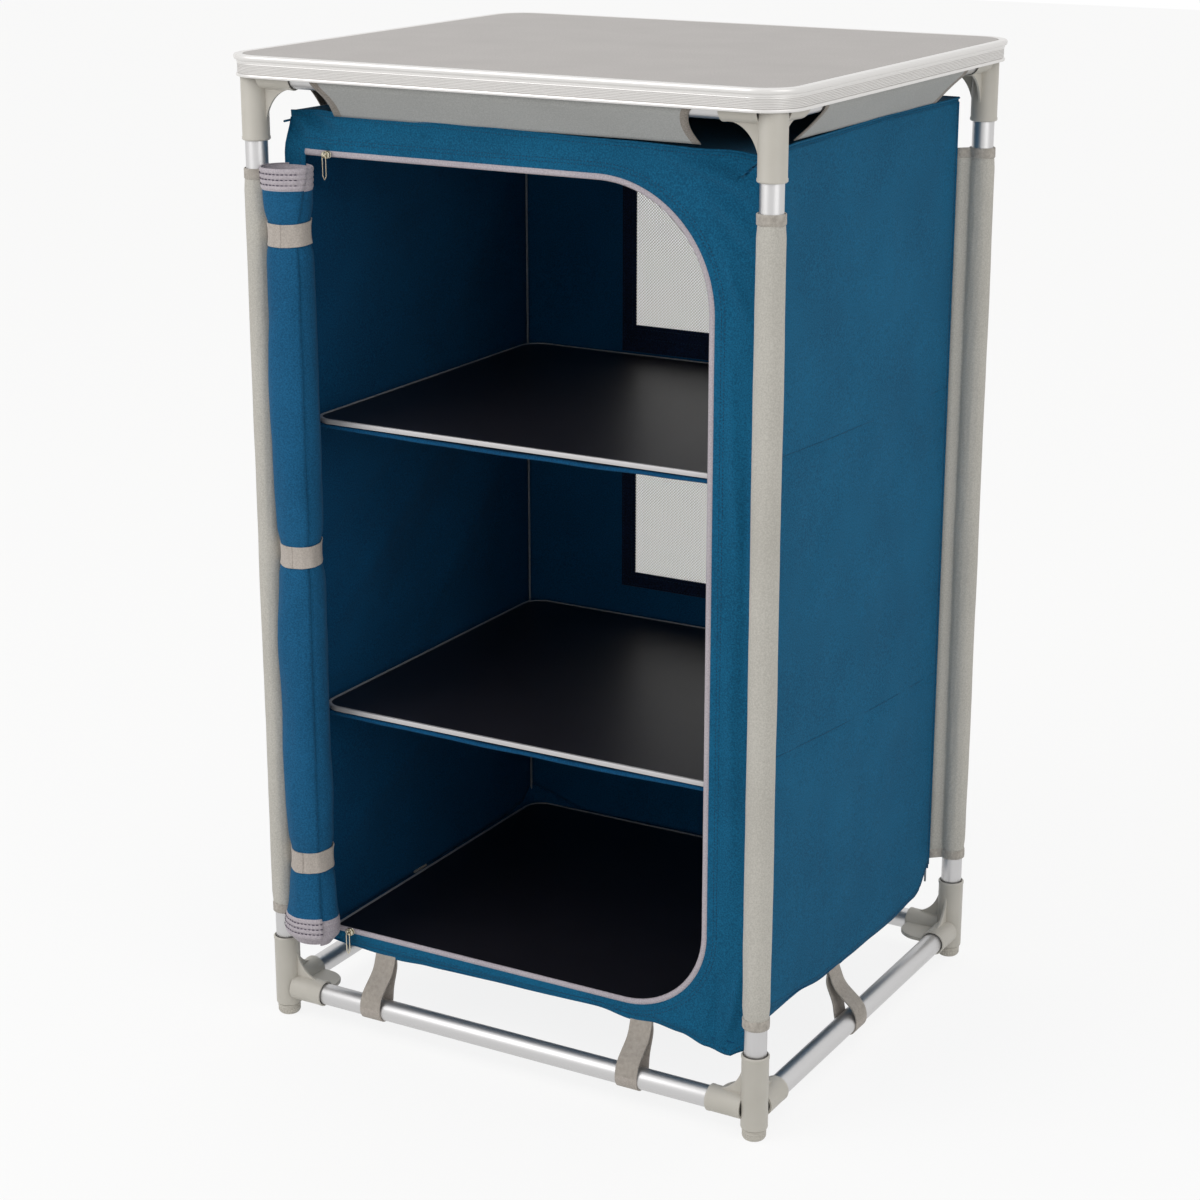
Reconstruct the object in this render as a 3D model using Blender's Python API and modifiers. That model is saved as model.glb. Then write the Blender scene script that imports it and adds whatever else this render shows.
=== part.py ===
# Folding camping kitchen cupboard: a plug-together tube frame with moulded corner
# connectors, a lift-off laminate top, and a soft cabinet with two hung shelves.
# Metres, +Z up. The origin is on the ground under the middle of the top.

import bpy
import bmesh
from math import acos, asin, atan2, cos, hypot, pi, sin, tau
from mathutils import Matrix, Vector

# Clearances
GAP = 0.0003
CUT = 0.002

# Overall frame
OVERALL_H = 1.000
LEG_SPAN_X = 0.550
LEG_SPAN_Y = 0.480
TUBE_R = 0.011
TUBE_WALL = 0.0012
BASE_RAIL_Z = 0.031
TOP_RAIL_DROP = 0.020
TOP_RAIL_Z = OVERALL_H - TOP_RAIL_DROP

# Tabletop: laminate board in a ribbed aluminium rim
TOP_OVERHANG = 0.025
TOP_CORNER_R = 0.040
PANEL_T = 0.004
RIM_H = 0.021
RIM_BEAD = 0.003
RIM_BEAD_H = 0.005
RIM_WALL = 0.0016
RIM_LAP = 0.006
RIM_LAP_T = 0.0007
RIM_LIP_H = 0.0035
RIM_LIP = 0.0006
RIM_SHELF = 0.005
RIM_SHELF_T = 0.0015
RIM_RIB_DEPTH = 0.0006
RIM_RIBS = 3

# Moulded three-way corner connectors
SOCKET_WALL = 0.0025
ARM_WALL = 0.0015
BASE_ARM_WALL = 0.0022
SOCKET_R = TUBE_R + SOCKET_WALL
ARM_R = TUBE_R + ARM_WALL
BASE_ARM_R = TUBE_R + BASE_ARM_WALL
ARM_L = 0.048
WEB_T = 0.003
WEB_INSET = 0.004
SOCKET_LIP_H = 0.003
SOCKET_LIP_STEP = 0.0008
TOP_SOCKET_DROP = 0.0615
TOP_SOCKET_RISE = 0.0105
BASE_SOCKET_DROP = 0.0195
BASE_SOCKET_RISE = 0.0578
LEG_STOP = 0.0175
RAIL_STOP = 0.016
WEB_SOCKET_INSET = 0.012
BASE_PLATE_REACH = 0.046
BASE_PLATE_R = 0.024
BASE_PLATE_T = 0.004
MOUTH_RELIEF_R = 0.0012
MOUTH_RELIEF_D = 0.003

# Levelling feet
FOOT_R = 0.0118
FOOT_GRIP_DEPTH = 0.0007
FOOT_TREAD_R = 0.0098
FOOT_TREAD_H = 0.002
FOOT_STEM_R = 0.0057
FOOT_STEM_L = 0.0115
FOOT_BEVEL = 0.0018
FOOT_GRIPS = 16

# Soft cabinet, set in from the legs and rails
CAB_INSET_X = 0.020
CAB_INSET_Y = 0.019
CAB_BASE_LIFT = 0.0455
CAB_TOP_DROP = 0.037
CAB_W = LEG_SPAN_X - 2 * CAB_INSET_X
CAB_D = LEG_SPAN_Y - 2 * CAB_INSET_Y
CAB_BASE_Z = BASE_RAIL_Z + CAB_BASE_LIFT
CAB_TOP_Z = TOP_RAIL_Z - CAB_TOP_DROP
CAB_H = CAB_TOP_Z - CAB_BASE_Z
CLOTH_T = 0.0012
HEM_LIFT = 0.006
HEM_SHARES = ((0.0, 0.0), (0.08, 0.8), (0.19, 0.45), (0.35, 0.8), (0.5, 1.0),
              (0.65, 0.8), (0.77, 0.45), (0.9, 0.8), (1.0, 0.0))

# Door opening in the front, its zip and the rolled door
DOOR_MARGIN_LEFT = 0.023
DOOR_MARGIN_RIGHT = 0.0445
DOOR_MARGIN_BASE = 0.022
DOOR_MARGIN_TOP = 0.0335
DOOR_LEFT_X = -CAB_W / 2 + DOOR_MARGIN_LEFT
DOOR_RIGHT_X = CAB_W / 2 - DOOR_MARGIN_RIGHT
DOOR_BASE_Z = CAB_BASE_Z + DOOR_MARGIN_BASE
DOOR_TOP_Z = CAB_TOP_Z - DOOR_MARGIN_TOP
DOOR_TOP_R = 0.120
DOOR_BASE_R = 0.090
ZIP_R = 0.0022
ZIP_START = 0.0035
SLIDER_FROM_LEFT = 0.027
SLIDER_L = 0.010
SLIDER_H = 0.008
SLIDER_T = 0.0042
SLIDER_BEVEL = 0.001
SLIDER_LOOP_R = 0.0028
SLIDER_LOOP_WIRE = 0.0007
SLIDER_LOOP_STAND = 0.0006
PULL_L = 0.024
PULL_W = 0.005
PULL_T = 0.0010
PULL_BAR = 0.0010
PULL_HANG_Y = 0.0006
PULL_HANG_Z = 0.0009
ROLL_HALF_W = 0.0243
ROLL_HALF_D = 0.0213
ROLL_BASE_LIFT = 0.006
ROLL_TOP_DROP = 0.013
ROLL_CUP_D = 0.020
ROLL_SKIN = 0.0045
ROLL_SIDES = 20
TIE_H = 0.022
TIE_T = 0.0014
TIE_PINCH = 0.0025
TIE_END_GAPS = (0.0835, 0.0625)
TIE_MIDDLE_SHARE = 0.5054

# Shelves
BOARD_MARGIN_X = 0.010
BOARD_MARGIN_Y = 0.011
BOARD_W = CAB_W - 2 * BOARD_MARGIN_X
BOARD_D = CAB_D - 2 * BOARD_MARGIN_Y
BOARD_T = 0.004
BOARD_R = 0.022
BOARD_EDGE_BEVEL = 0.0008
SHELF_HEIGHT_SHARES = (0.6526, 0.3041)
SHELF_TOP_Z = tuple(CAB_BASE_Z + share * CAB_H for share in SHELF_HEIGHT_SHARES)
FLOOR_LIFT = 0.0065
FLOOR_CLOTH_Z = CAB_BASE_Z + FLOOR_LIFT
BOARD_SHIFT_Y = 0.003

# Back windows, over the shelves
WINDOW_MARGIN_X = 0.140
WINDOW_HEIGHT_SHARE = 0.2308
WINDOW_LIFTS = (0.030, 0.048)
WINDOW_W = CAB_W - 2 * WINDOW_MARGIN_X
WINDOW_H = WINDOW_HEIGHT_SHARE * CAB_H
WINDOW_BASE_Z = tuple(top + lift for top, lift in zip(SHELF_TOP_Z, WINDOW_LIFTS))
NET_T = 0.0008
NET_STRAND = 0.006
NET_COLUMNS = 9
NET_ROWS = 7

# Top flaps, leg sleeves and hold-down straps
FLAP_T = 0.0012
FLAP_TOP_INSETS = (0.072, 0.075)
FLAP_BASE_INSETS = (0.079, 0.080)
FLAP_TOP_HALVES = (LEG_SPAN_X / 2 - FLAP_TOP_INSETS[0], LEG_SPAN_Y / 2 - FLAP_TOP_INSETS[1])
FLAP_BASE_HALVES = (LEG_SPAN_X / 2 - FLAP_BASE_INSETS[0],
                    LEG_SPAN_Y / 2 - FLAP_BASE_INSETS[1])
FLAP_TUCK_ANGLE = 1.0
SLEEVE_WALL = 0.0022
SLEEVE_R = TUBE_R + SLEEVE_WALL
SLEEVE_WEB_T = 0.0016
SLEEVE_BASE_LIFT = 0.086
SLEEVE_TOP_DROP = 0.088
SLEEVE_BASE_Z = BASE_RAIL_Z + SLEEVE_BASE_LIFT
SLEEVE_TOP_Z = TOP_RAIL_Z - SLEEVE_TOP_DROP
STRAP_W = 0.024
STRAP_T = 0.0016
STRAP_FRONT_INSETS = (0.092, 0.115)
STRAP_FRONT_X = (-CAB_W / 2 + STRAP_FRONT_INSETS[0], CAB_W / 2 - STRAP_FRONT_INSETS[1])
STRAP_SIDE_Y = -0.020

# Facets
ROUND_STEPS = 16
ARC_STEPS = 6
SHARP_ANGLE = 0.6

# Derived places
RIM_HALF_X = LEG_SPAN_X / 2 + TOP_OVERHANG - RIM_BEAD
RIM_HALF_Y = LEG_SPAN_Y / 2 + TOP_OVERHANG - RIM_BEAD
SLIDER_X = DOOR_LEFT_X + SLIDER_FROM_LEFT
ROLL_X = -LEG_SPAN_X / 2 + SLEEVE_R + GAP + ROLL_HALF_W
ROLL_Y = -CAB_D / 2 - GAP - ROLL_HALF_D - GAP
ROLL_BASE_Z = DOOR_BASE_Z + ROLL_BASE_LIFT
ROLL_TOP_Z = DOOR_TOP_Z - ROLL_TOP_DROP
TIE_BASE_Z = ROLL_BASE_Z + TIE_END_GAPS[0]
TIE_TOP_Z = ROLL_TOP_Z - TIE_END_GAPS[1]
TIE_Z = (TIE_BASE_Z, TIE_BASE_Z + (TIE_TOP_Z - TIE_BASE_Z) * TIE_MIDDLE_SHARE, TIE_TOP_Z)
DOOR_AXIS = (DOOR_LEFT_X, -CAB_D / 2 - GAP)
BORE_R = TUBE_R + GAP
FOOT_TOP_Z = BASE_RAIL_Z - BASE_SOCKET_DROP - GAP
FRONT_Y = -CAB_D / 2
INNER_HALF_W = CAB_W / 2 - CLOTH_T - GAP
INNER_HALF_D = CAB_D / 2 - CLOTH_T - GAP


# Scene and collections
def clear_scene():
    """Remove whatever the scene holds."""
    for obj in list(bpy.data.objects):
        bpy.data.objects.remove(obj)


def new_collection(name):
    """Make a collection under the scene's own."""
    group = bpy.data.collections.new(name)
    bpy.context.scene.collection.children.link(group)
    return group


clear_scene()
PARTS = new_collection("camping_kitchen_cupboard")


def finish(name, colour, roughness, metallic=0.0):
    """Make a Principled material with one colour."""
    material = bpy.data.materials.new(name)
    material.use_nodes = True
    shader = material.node_tree.nodes["Principled BSDF"]
    shader.inputs["Base Color"].default_value = (*colour, 1.0)
    shader.inputs["Roughness"].default_value = roughness
    shader.inputs["Metallic"].default_value = metallic
    return material


LAMINATE = finish("speckled_laminate", (0.43, 0.40, 0.37), 0.45)
ALUMINIUM = finish("satin_aluminium", (0.80, 0.80, 0.81), 0.30, 1.0)
PLASTIC = finish("moulded_grey_plastic", (0.57, 0.54, 0.50), 0.45)
BLUE_CLOTH = finish("blue_polyester", (0.010, 0.110, 0.240), 0.85)
GREY_CLOTH = finish("grey_polyester", (0.40, 0.41, 0.42), 0.85)
WEBBING = finish("grey_webbing", (0.46, 0.42, 0.38), 0.90)
ZIP_TAPE = finish("lilac_grey_tape", (0.39, 0.37, 0.40), 0.80)
NET = finish("cream_net", (0.57, 0.54, 0.49), 0.80)
BOARD = finish("black_board", (0.008, 0.008, 0.010), 0.35)
ZIP_METAL = finish("nickel_plate", (0.62, 0.60, 0.56), 0.30, 1.0)


# Object helpers
def add_object(name, data, material=None, place=(0, 0, 0), turn=(0, 0, 0), parent=None):
    """Add one named part, or a helper when it has no material."""
    obj = bpy.data.objects.new(name, data)
    PARTS.objects.link(obj)
    obj.location = place
    obj.rotation_euler = turn
    if material is not None and not data.materials:
        data.materials.append(material)
    if parent is not None:
        obj.parent = parent
    return obj


def add_empty(name, place):
    """Add an empty that marks a joint axis or carries a group."""
    obj = bpy.data.objects.new(name, None)
    PARTS.objects.link(obj)
    obj.location = place
    return obj


def frozen(obj):
    """Turn an object into a plain welded mesh in world places and remove it."""
    bpy.context.view_layer.update()
    graph = bpy.context.evaluated_depsgraph_get()
    mesh = bpy.data.meshes.new_from_object(obj.evaluated_get(graph))
    mesh.transform(obj.matrix_world)
    bpy.data.objects.remove(obj)
    form = bmesh.new()
    form.from_mesh(mesh)
    bmesh.ops.remove_doubles(form, verts=form.verts, dist=GAP / 100)
    form.to_mesh(mesh)
    form.free()
    return mesh


def combined(base, tools, operation):
    """Join or cut a mesh with others and return the plain result."""
    target = add_object("combining", base)
    helpers = [add_object("tool", mesh) for mesh in tools]
    for helper in helpers:
        step = target.modifiers.new("step", "BOOLEAN")
        step.operation = operation
        step.solver = "EXACT"
        step.object = helper
    result = frozen(target)
    for helper in helpers:
        bpy.data.objects.remove(helper)
    return result


def smoothed(obj, angle=SHARP_ANGLE):
    """Shade round sides smooth and keep edges over an angle sharp."""
    obj.data.shade_smooth()
    obj.data.set_sharp_from_angle(angle=angle)
    return obj


# Shape helpers
def arc(centre, radii, start, end, steps):
    """Points along an elliptical arc, both ends included."""
    return [(centre[0] + radii[0] * cos(start + (end - start) * i / steps),
             centre[1] + radii[1] * sin(start + (end - start) * i / steps))
            for i in range(steps + 1)]


def rounded_rectangle(half_w, half_d, radius, steps=ARC_STEPS):
    """Outline of a rectangle with four round corners, anticlockwise."""
    points = []
    for i, (sx, sy) in enumerate(((1, 1), (-1, 1), (-1, -1), (1, -1))):
        centre = (sx * (half_w - radius), sy * (half_d - radius))
        points += arc(centre, (radius, radius), i * pi / 2, (i + 1) * pi / 2, steps)
    return points


def plate_mesh(outlines, thickness):
    """Plate in the XY plane from a flat outline and its holes, centred on Z."""
    curve = bpy.data.curves.new("outline", "CURVE")
    curve.dimensions = "2D"
    curve.fill_mode = "BOTH"
    curve.extrude = thickness / 2
    for outline in outlines:
        line = curve.splines.new("POLY")
        line.points.add(len(outline) - 1)
        for point, (x, y) in zip(line.points, outline):
            point.co = (x, y, 0, 1)
        line.use_cyclic_u = True
    return frozen(add_object("outline", curve))


def turned_mesh(profile, steps=ROUND_STEPS, closed=True):
    """Turn a (radius, height) profile about Z; it runs down its outer side."""
    mesh = bpy.data.meshes.new("profile")
    count = len(profile)
    last = count if closed else count - 1
    mesh.from_pydata([(r, 0, z) for r, z in profile],
                     [(i, (i + 1) % count) for i in range(last)], [])
    obj = add_object("profile", mesh)
    screw = obj.modifiers.new("turn", "SCREW")
    screw.steps = steps
    screw.render_steps = steps
    screw.use_merge_vertices = True
    screw.merge_threshold = GAP / 100
    return frozen(obj)


def lofted_mesh(rings):
    """Closed skin through rings of equal count, with flat ends."""
    form = bmesh.new()
    rows = [[form.verts.new(point) for point in ring] for ring in rings]
    count = len(rows[0])
    for low, high in zip(rows, rows[1:]):
        for i in range(count):
            j = (i + 1) % count
            form.faces.new((low[i], low[j], high[j], high[i]))
    form.faces.new(list(reversed(rows[0])))
    form.faces.new(rows[-1])
    mesh = bpy.data.meshes.new("loft")
    form.to_mesh(mesh)
    form.free()
    return mesh


def tube_mesh(length):
    """Round tube along +Z from zero."""
    inner = TUBE_R - TUBE_WALL
    return turned_mesh([(TUBE_R, length), (TUBE_R, 0), (inner, 0), (inner, length)])


def rod_mesh(radius, low, high, steps=ROUND_STEPS):
    """Solid round bar along Z between two heights."""
    return turned_mesh([(0, high), (radius, high), (radius, low), (0, low)], steps, False)


def turned_to(mesh, matrix):
    """Return the mesh after a turn or move."""
    mesh.transform(matrix)
    return mesh


TO_X = Matrix.Rotation(pi / 2, 4, "Y")
TO_Y = Matrix.Rotation(-pi / 2, 4, "X")
UPRIGHT_X = Matrix.Rotation(pi / 2, 4, "X")
UPRIGHT_Y = Matrix.Rotation(pi / 2, 4, "Z") @ UPRIGHT_X


# Corners, in the order of quarter turns from the front left
CORNERS = (("front_left", -1, -1), ("front_right", 1, -1),
           ("rear_right", 1, 1), ("rear_left", -1, 1))


def corner_place(sx, sy, z):
    """A point on a leg's axis."""
    return (sx * LEG_SPAN_X / 2, sy * LEG_SPAN_Y / 2, z)


# Tabletop
def panel_mesh():
    """Laminate board with its top at the origin, stepped down under the rim's lap."""
    edge = RIM_WALL + GAP
    face = RIM_LAP + GAP
    step = -RIM_LAP_T - GAP
    rings = []
    for inset, z in ((edge, -PANEL_T), (edge, step), (face, step), (face, 0)):
        outline = rounded_rectangle(RIM_HALF_X - inset, RIM_HALF_Y - inset,
                                    TOP_CORNER_R - RIM_BEAD - inset)
        rings.append([(x, y, z) for x, y in outline])
    return lofted_mesh(rings)


def build_tabletop(carrier):
    """Laminate panel held in its rim."""
    add_object("tabletop_panel", panel_mesh(), LAMINATE,
               (0, 0, OVERALL_H - carrier.location.z), parent=carrier)
    rim = add_object("tabletop_rim", rim_mesh(), ALUMINIUM,
                     (0, 0, OVERALL_H - RIM_H - carrier.location.z), parent=carrier)
    smoothed(rim)


def rim_section():
    """Closed section of the rim as (outward offset, height) points."""
    bead_mid_share, bead_round_share = 0.5, 0.7
    points = [(-RIM_LAP, RIM_H), (RIM_BEAD * bead_mid_share, RIM_H),
              (RIM_BEAD, RIM_H - RIM_BEAD_H * (1 - bead_round_share)),
              (RIM_BEAD, RIM_H - RIM_BEAD_H * bead_round_share),
              (RIM_BEAD * bead_mid_share, RIM_H - RIM_BEAD_H), (0, RIM_H - RIM_BEAD_H)]
    body_top = RIM_H - RIM_BEAD_H
    pitch = (body_top - RIM_LIP_H) / (RIM_RIBS + 1)
    for i in range(1, RIM_RIBS + 1):
        middle = body_top - pitch * i
        points += [(0, middle + RIM_RIB_DEPTH), (-RIM_RIB_DEPTH, middle),
                   (0, middle - RIM_RIB_DEPTH)]
    shelf_top = RIM_H - PANEL_T - GAP
    points += [(0, RIM_LIP_H), (RIM_LIP, RIM_LIP_H - RIM_LIP), (RIM_LIP, 0), (-RIM_WALL, 0),
               (-RIM_WALL, shelf_top - RIM_SHELF_T),
               (-RIM_WALL - RIM_SHELF, shelf_top - RIM_SHELF_T),
               (-RIM_WALL - RIM_SHELF, shelf_top), (-RIM_WALL, shelf_top),
               (-RIM_WALL, RIM_H - RIM_LAP_T), (-RIM_LAP, RIM_H - RIM_LAP_T)]
    return points


def rim_mesh():
    """Sweep the rim's section round the tabletop's outline."""
    radius = TOP_CORNER_R - RIM_BEAD
    form = bmesh.new()
    rows = []
    for offset, z in rim_section():
        outline = rounded_rectangle(RIM_HALF_X + offset, RIM_HALF_Y + offset, radius + offset)
        rows.append([form.verts.new((x, y, z)) for x, y in outline])
    count = len(rows[0])
    for i, row in enumerate(rows):
        following = rows[(i + 1) % len(rows)]
        for j in range(count):
            k = (j + 1) % count
            form.faces.new((row[j], following[j], following[k], row[k]))
    bmesh.ops.recalc_face_normals(form, faces=form.faces)
    mesh = bpy.data.meshes.new("rim")
    form.to_mesh(mesh)
    form.free()
    return mesh


# Corner connectors
def web_mesh(socket_end, arm_radius):
    """Thin web that fills the angle between an arm and the socket with a hollow curve."""
    side = 1 if socket_end > 0 else -1
    low = socket_end - side * WEB_SOCKET_INSET
    reach = ARM_L - WEB_INSET
    edge_z = side * (arm_radius - WEB_INSET)
    start_x = SOCKET_R - WEB_INSET / 2
    curve = [(reach - (reach - start_x) * sin(pi / 2 * i / ARC_STEPS),
              low + (edge_z - low) * cos(pi / 2 * i / ARC_STEPS))
             for i in range(ARC_STEPS + 1)]
    outline = [(0, 0), (reach, 0)] + curve + [(0, low)]
    return turned_to(plate_mesh([outline], WEB_T), UPRIGHT_X)


def connector_mesh(socket_low, socket_high, arm_radius, leg_down, extra=()):
    """Three-way connector at the origin: a socket on Z and arms on +X and +Y."""
    lip = SOCKET_R - SOCKET_LIP_STEP
    socket = turned_mesh([(0, socket_high), (lip, socket_high),
                          (SOCKET_R, socket_high - SOCKET_LIP_H),
                          (SOCKET_R, socket_low + SOCKET_LIP_H), (lip, socket_low),
                          (0, socket_low)], closed=False)
    open_end = socket_low if leg_down else socket_high
    web_x = web_mesh(open_end, arm_radius)
    web_y = turned_to(web_mesh(open_end, arm_radius), Matrix.Rotation(pi / 2, 4, "Z"))
    arms = [turned_to(rod_mesh(arm_radius, 0, ARM_L), TO_X),
            turned_to(rod_mesh(arm_radius, 0, ARM_L), TO_Y)]
    body = combined(socket, arms + [web_x, web_y] + list(extra), "UNION")
    side = -1 if leg_down else 1
    leg_bore = [(0, side * LEG_STOP), (BORE_R, side * LEG_STOP),
                (BORE_R, open_end - side * MOUTH_RELIEF_D),
                (BORE_R + MOUTH_RELIEF_R, open_end - side * MOUTH_RELIEF_D),
                (BORE_R + MOUTH_RELIEF_R, open_end + side * CUT), (0, open_end + side * CUT)]
    if not leg_down:
        leg_bore.reverse()
    bores = [turned_mesh(leg_bore, closed=False),
             turned_to(rod_mesh(BORE_R, RAIL_STOP, ARM_L + CUT), TO_X),
             turned_to(rod_mesh(BORE_R, RAIL_STOP, ARM_L + CUT), TO_Y)]
    return body, bores


def build_top_corners():
    """Four top connectors that carry the tabletop and hold legs and top rails."""
    body, bores = connector_mesh(-TOP_SOCKET_DROP, TOP_SOCKET_RISE, ARM_R, True)
    mesh = combined(body, bores, "DIFFERENCE")
    for i, (corner, sx, sy) in enumerate(CORNERS):
        obj = add_object("top_corner_" + corner, mesh, PLASTIC,
                         corner_place(sx, sy, TOP_RAIL_Z), (0, 0, i * pi / 2))
        smoothed(obj)


def base_plate_mesh():
    """Round-cornered level plate between the two arms of a base connector."""
    inner = BASE_PLATE_REACH - BASE_PLATE_R
    outline = [(0, 0), (BASE_PLATE_REACH, 0)]
    outline += arc((inner, inner), (BASE_PLATE_R, BASE_PLATE_R), 0, pi / 2, ARC_STEPS)
    outline.append((0, BASE_PLATE_REACH))
    return plate_mesh([outline], BASE_PLATE_T)


def build_base_corners():
    """Four base connectors with a threaded hole for the levelling foot."""
    body, bores = connector_mesh(-BASE_SOCKET_DROP, BASE_SOCKET_RISE, BASE_ARM_R, False,
                                 [base_plate_mesh()])
    bores.append(rod_mesh(FOOT_STEM_R + GAP, -BASE_SOCKET_DROP - CUT,
                          -BASE_SOCKET_DROP + FOOT_STEM_L + GAP))
    mesh = combined(body, bores, "DIFFERENCE")
    for i, (corner, sx, sy) in enumerate(CORNERS):
        obj = add_object("base_corner_" + corner, mesh, PLASTIC,
                         corner_place(sx, sy, BASE_RAIL_Z), (0, 0, i * pi / 2))
        smoothed(obj)


# Tubes
def build_legs():
    """Four upright tubes between the base and top connectors."""
    low = BASE_RAIL_Z + LEG_STOP + GAP
    mesh = tube_mesh(TOP_RAIL_Z - LEG_STOP - GAP - low)
    for corner, sx, sy in CORNERS:
        smoothed(add_object("leg_" + corner, mesh, ALUMINIUM, corner_place(sx, sy, low)))


def build_rails(prefix, z):
    """Four level tubes plugged into the arms of four connectors."""
    along_x = turned_to(tube_mesh(LEG_SPAN_X - 2 * (RAIL_STOP + GAP)), TO_X)
    along_y = turned_to(tube_mesh(LEG_SPAN_Y - 2 * (RAIL_STOP + GAP)), TO_Y)
    start_x = -LEG_SPAN_X / 2 + RAIL_STOP + GAP
    start_y = -LEG_SPAN_Y / 2 + RAIL_STOP + GAP
    for side, sign in (("front", -1), ("rear", 1)):
        place = (start_x, sign * LEG_SPAN_Y / 2, z)
        smoothed(add_object(prefix + "_rail_" + side, along_x, ALUMINIUM, place))
    for side, sign in (("left", -1), ("right", 1)):
        place = (sign * LEG_SPAN_X / 2, start_y, z)
        smoothed(add_object(prefix + "_rail_" + side, along_y, ALUMINIUM, place))


def foot_ring(radius, z, grip=0.0):
    """Ring of points round a foot, every second one drawn in by the grip depth."""
    count = 2 * FOOT_GRIPS
    return [((radius - grip * (i % 2)) * cos(tau * i / count),
             (radius - grip * (i % 2)) * sin(tau * i / count), z) for i in range(count)]


def build_feet():
    """Four screw-in levelling feet with a gripped rim."""
    top = FOOT_TOP_Z
    mesh = lofted_mesh([foot_ring(FOOT_TREAD_R, 0),
                        foot_ring(FOOT_R, FOOT_TREAD_H, FOOT_GRIP_DEPTH),
                        foot_ring(FOOT_R, top - FOOT_BEVEL, FOOT_GRIP_DEPTH),
                        foot_ring(FOOT_R - FOOT_GRIP_DEPTH, top),
                        foot_ring(FOOT_STEM_R, top), foot_ring(FOOT_STEM_R, top + FOOT_STEM_L)])
    for corner, sx, sy in CORNERS:
        add_object("foot_" + corner, mesh, PLASTIC, corner_place(sx, sy, 0))


# Cloth cabinet
def hem_line(half_width):
    """Points of a softly waved hem from left to right."""
    return [(half_width * (2 * along - 1), CAB_BASE_Z + HEM_LIFT * rise)
            for along, rise in HEM_SHARES]


def wall_outline(half_width):
    """Outline of one cabinet wall with its waved lower hem."""
    return hem_line(half_width) + [(half_width, CAB_TOP_Z), (-half_width, CAB_TOP_Z)]


def door_path(grow):
    """Edge of the door opening, grown outwards: left top, round the right, left base."""
    top = (DOOR_RIGHT_X - DOOR_TOP_R, DOOR_TOP_Z - DOOR_TOP_R)
    base = (DOOR_RIGHT_X - DOOR_BASE_R, DOOR_BASE_Z + DOOR_BASE_R)
    r_top = DOOR_TOP_R + grow
    r_base = DOOR_BASE_R + grow
    steps = 2 * ARC_STEPS
    points = arc(top, (r_top, r_top), pi / 2, 0, steps)
    return points + arc(base, (r_base, r_base), 0, -pi / 2, steps)


def strap_outline(radius, reach, rise):
    """Loop round a tube at the origin that closes in a point, as (along, up) points."""
    distance = hypot(reach, rise)
    towards = atan2(rise, reach)
    spread = acos(radius / distance)
    wrap = arc((0, 0), (radius, radius), towards + spread, towards + tau - spread, 2 * ARC_STEPS)
    return [(reach, rise)] + wrap


def strap_mesh(reach, rise):
    """Hold-down strap round a tube along X at the origin, tied in at (reach, rise)."""
    inner_r = TUBE_R + GAP
    outer_r = inner_r + STRAP_T
    share = inner_r / outer_r
    outlines = [strap_outline(outer_r, reach, rise),
                strap_outline(inner_r, reach * share, rise * share)]
    return turned_to(plate_mesh(outlines, STRAP_W), UPRIGHT_Y)


def hem_height(along):
    """Height of the hem above its lowest corner at a share of the wall's width."""
    for (left, low), (right, high) in zip(HEM_SHARES, HEM_SHARES[1:]):
        if left <= along <= right:
            return HEM_LIFT * (low + (high - low) * (along - left) / (right - left))
    return 0.0


def strap_rise(place, half_width, overlap=0.0):
    """Height from the base rail to the hem over a strap."""
    ends = [hem_height((place + side * STRAP_W / 2 + half_width) / (2 * half_width))
            for side in (-1, 1)]
    middle = hem_height((place + half_width) / (2 * half_width))
    return CAB_BASE_Z + min(*ends, middle) - GAP + overlap - BASE_RAIL_Z


def build_straps():
    """Straps that hold the cabinet's hem down to the base rails."""
    reach = LEG_SPAN_Y / 2 - CAB_D / 2 + CLOTH_T / 2
    for side, x in zip(("left", "right"), STRAP_FRONT_X):
        mesh = strap_mesh(reach, strap_rise(x, CAB_W / 2))
        add_object("strap_front_" + side, mesh, WEBBING, (x, -LEG_SPAN_Y / 2, BASE_RAIL_Z))
    reach = LEG_SPAN_X / 2 - CAB_W / 2 + CLOTH_T / 2
    mesh = strap_mesh(reach, strap_rise(STRAP_SIDE_Y, INNER_HALF_D))
    for side, sign, turn in (("left", -1, -pi / 2), ("right", 1, pi / 2)):
        add_object("strap_side_" + side, mesh, WEBBING,
                   (sign * LEG_SPAN_X / 2, STRAP_SIDE_Y, BASE_RAIL_Z), (0, 0, turn))


def build_front_wall():
    """Front wall with the door opening."""
    opening = [(DOOR_LEFT_X, DOOR_TOP_Z)] + door_path(0) + [(DOOR_LEFT_X, DOOR_BASE_Z)]
    mesh = plate_mesh([wall_outline(CAB_W / 2), opening], CLOTH_T)
    add_object("cabinet_front", turned_to(mesh, UPRIGHT_X), BLUE_CLOTH,
               (0, FRONT_Y + CLOTH_T / 2, 0))


def window_outline(index, clear):
    """Rectangle of one back window, drawn in by a clearance."""
    half = WINDOW_W / 2 - clear
    low = WINDOW_BASE_Z[index] + clear
    high = WINDOW_BASE_Z[index] + WINDOW_H - clear
    return [(-half, low), (half, low), (half, high), (-half, high)]


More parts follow.
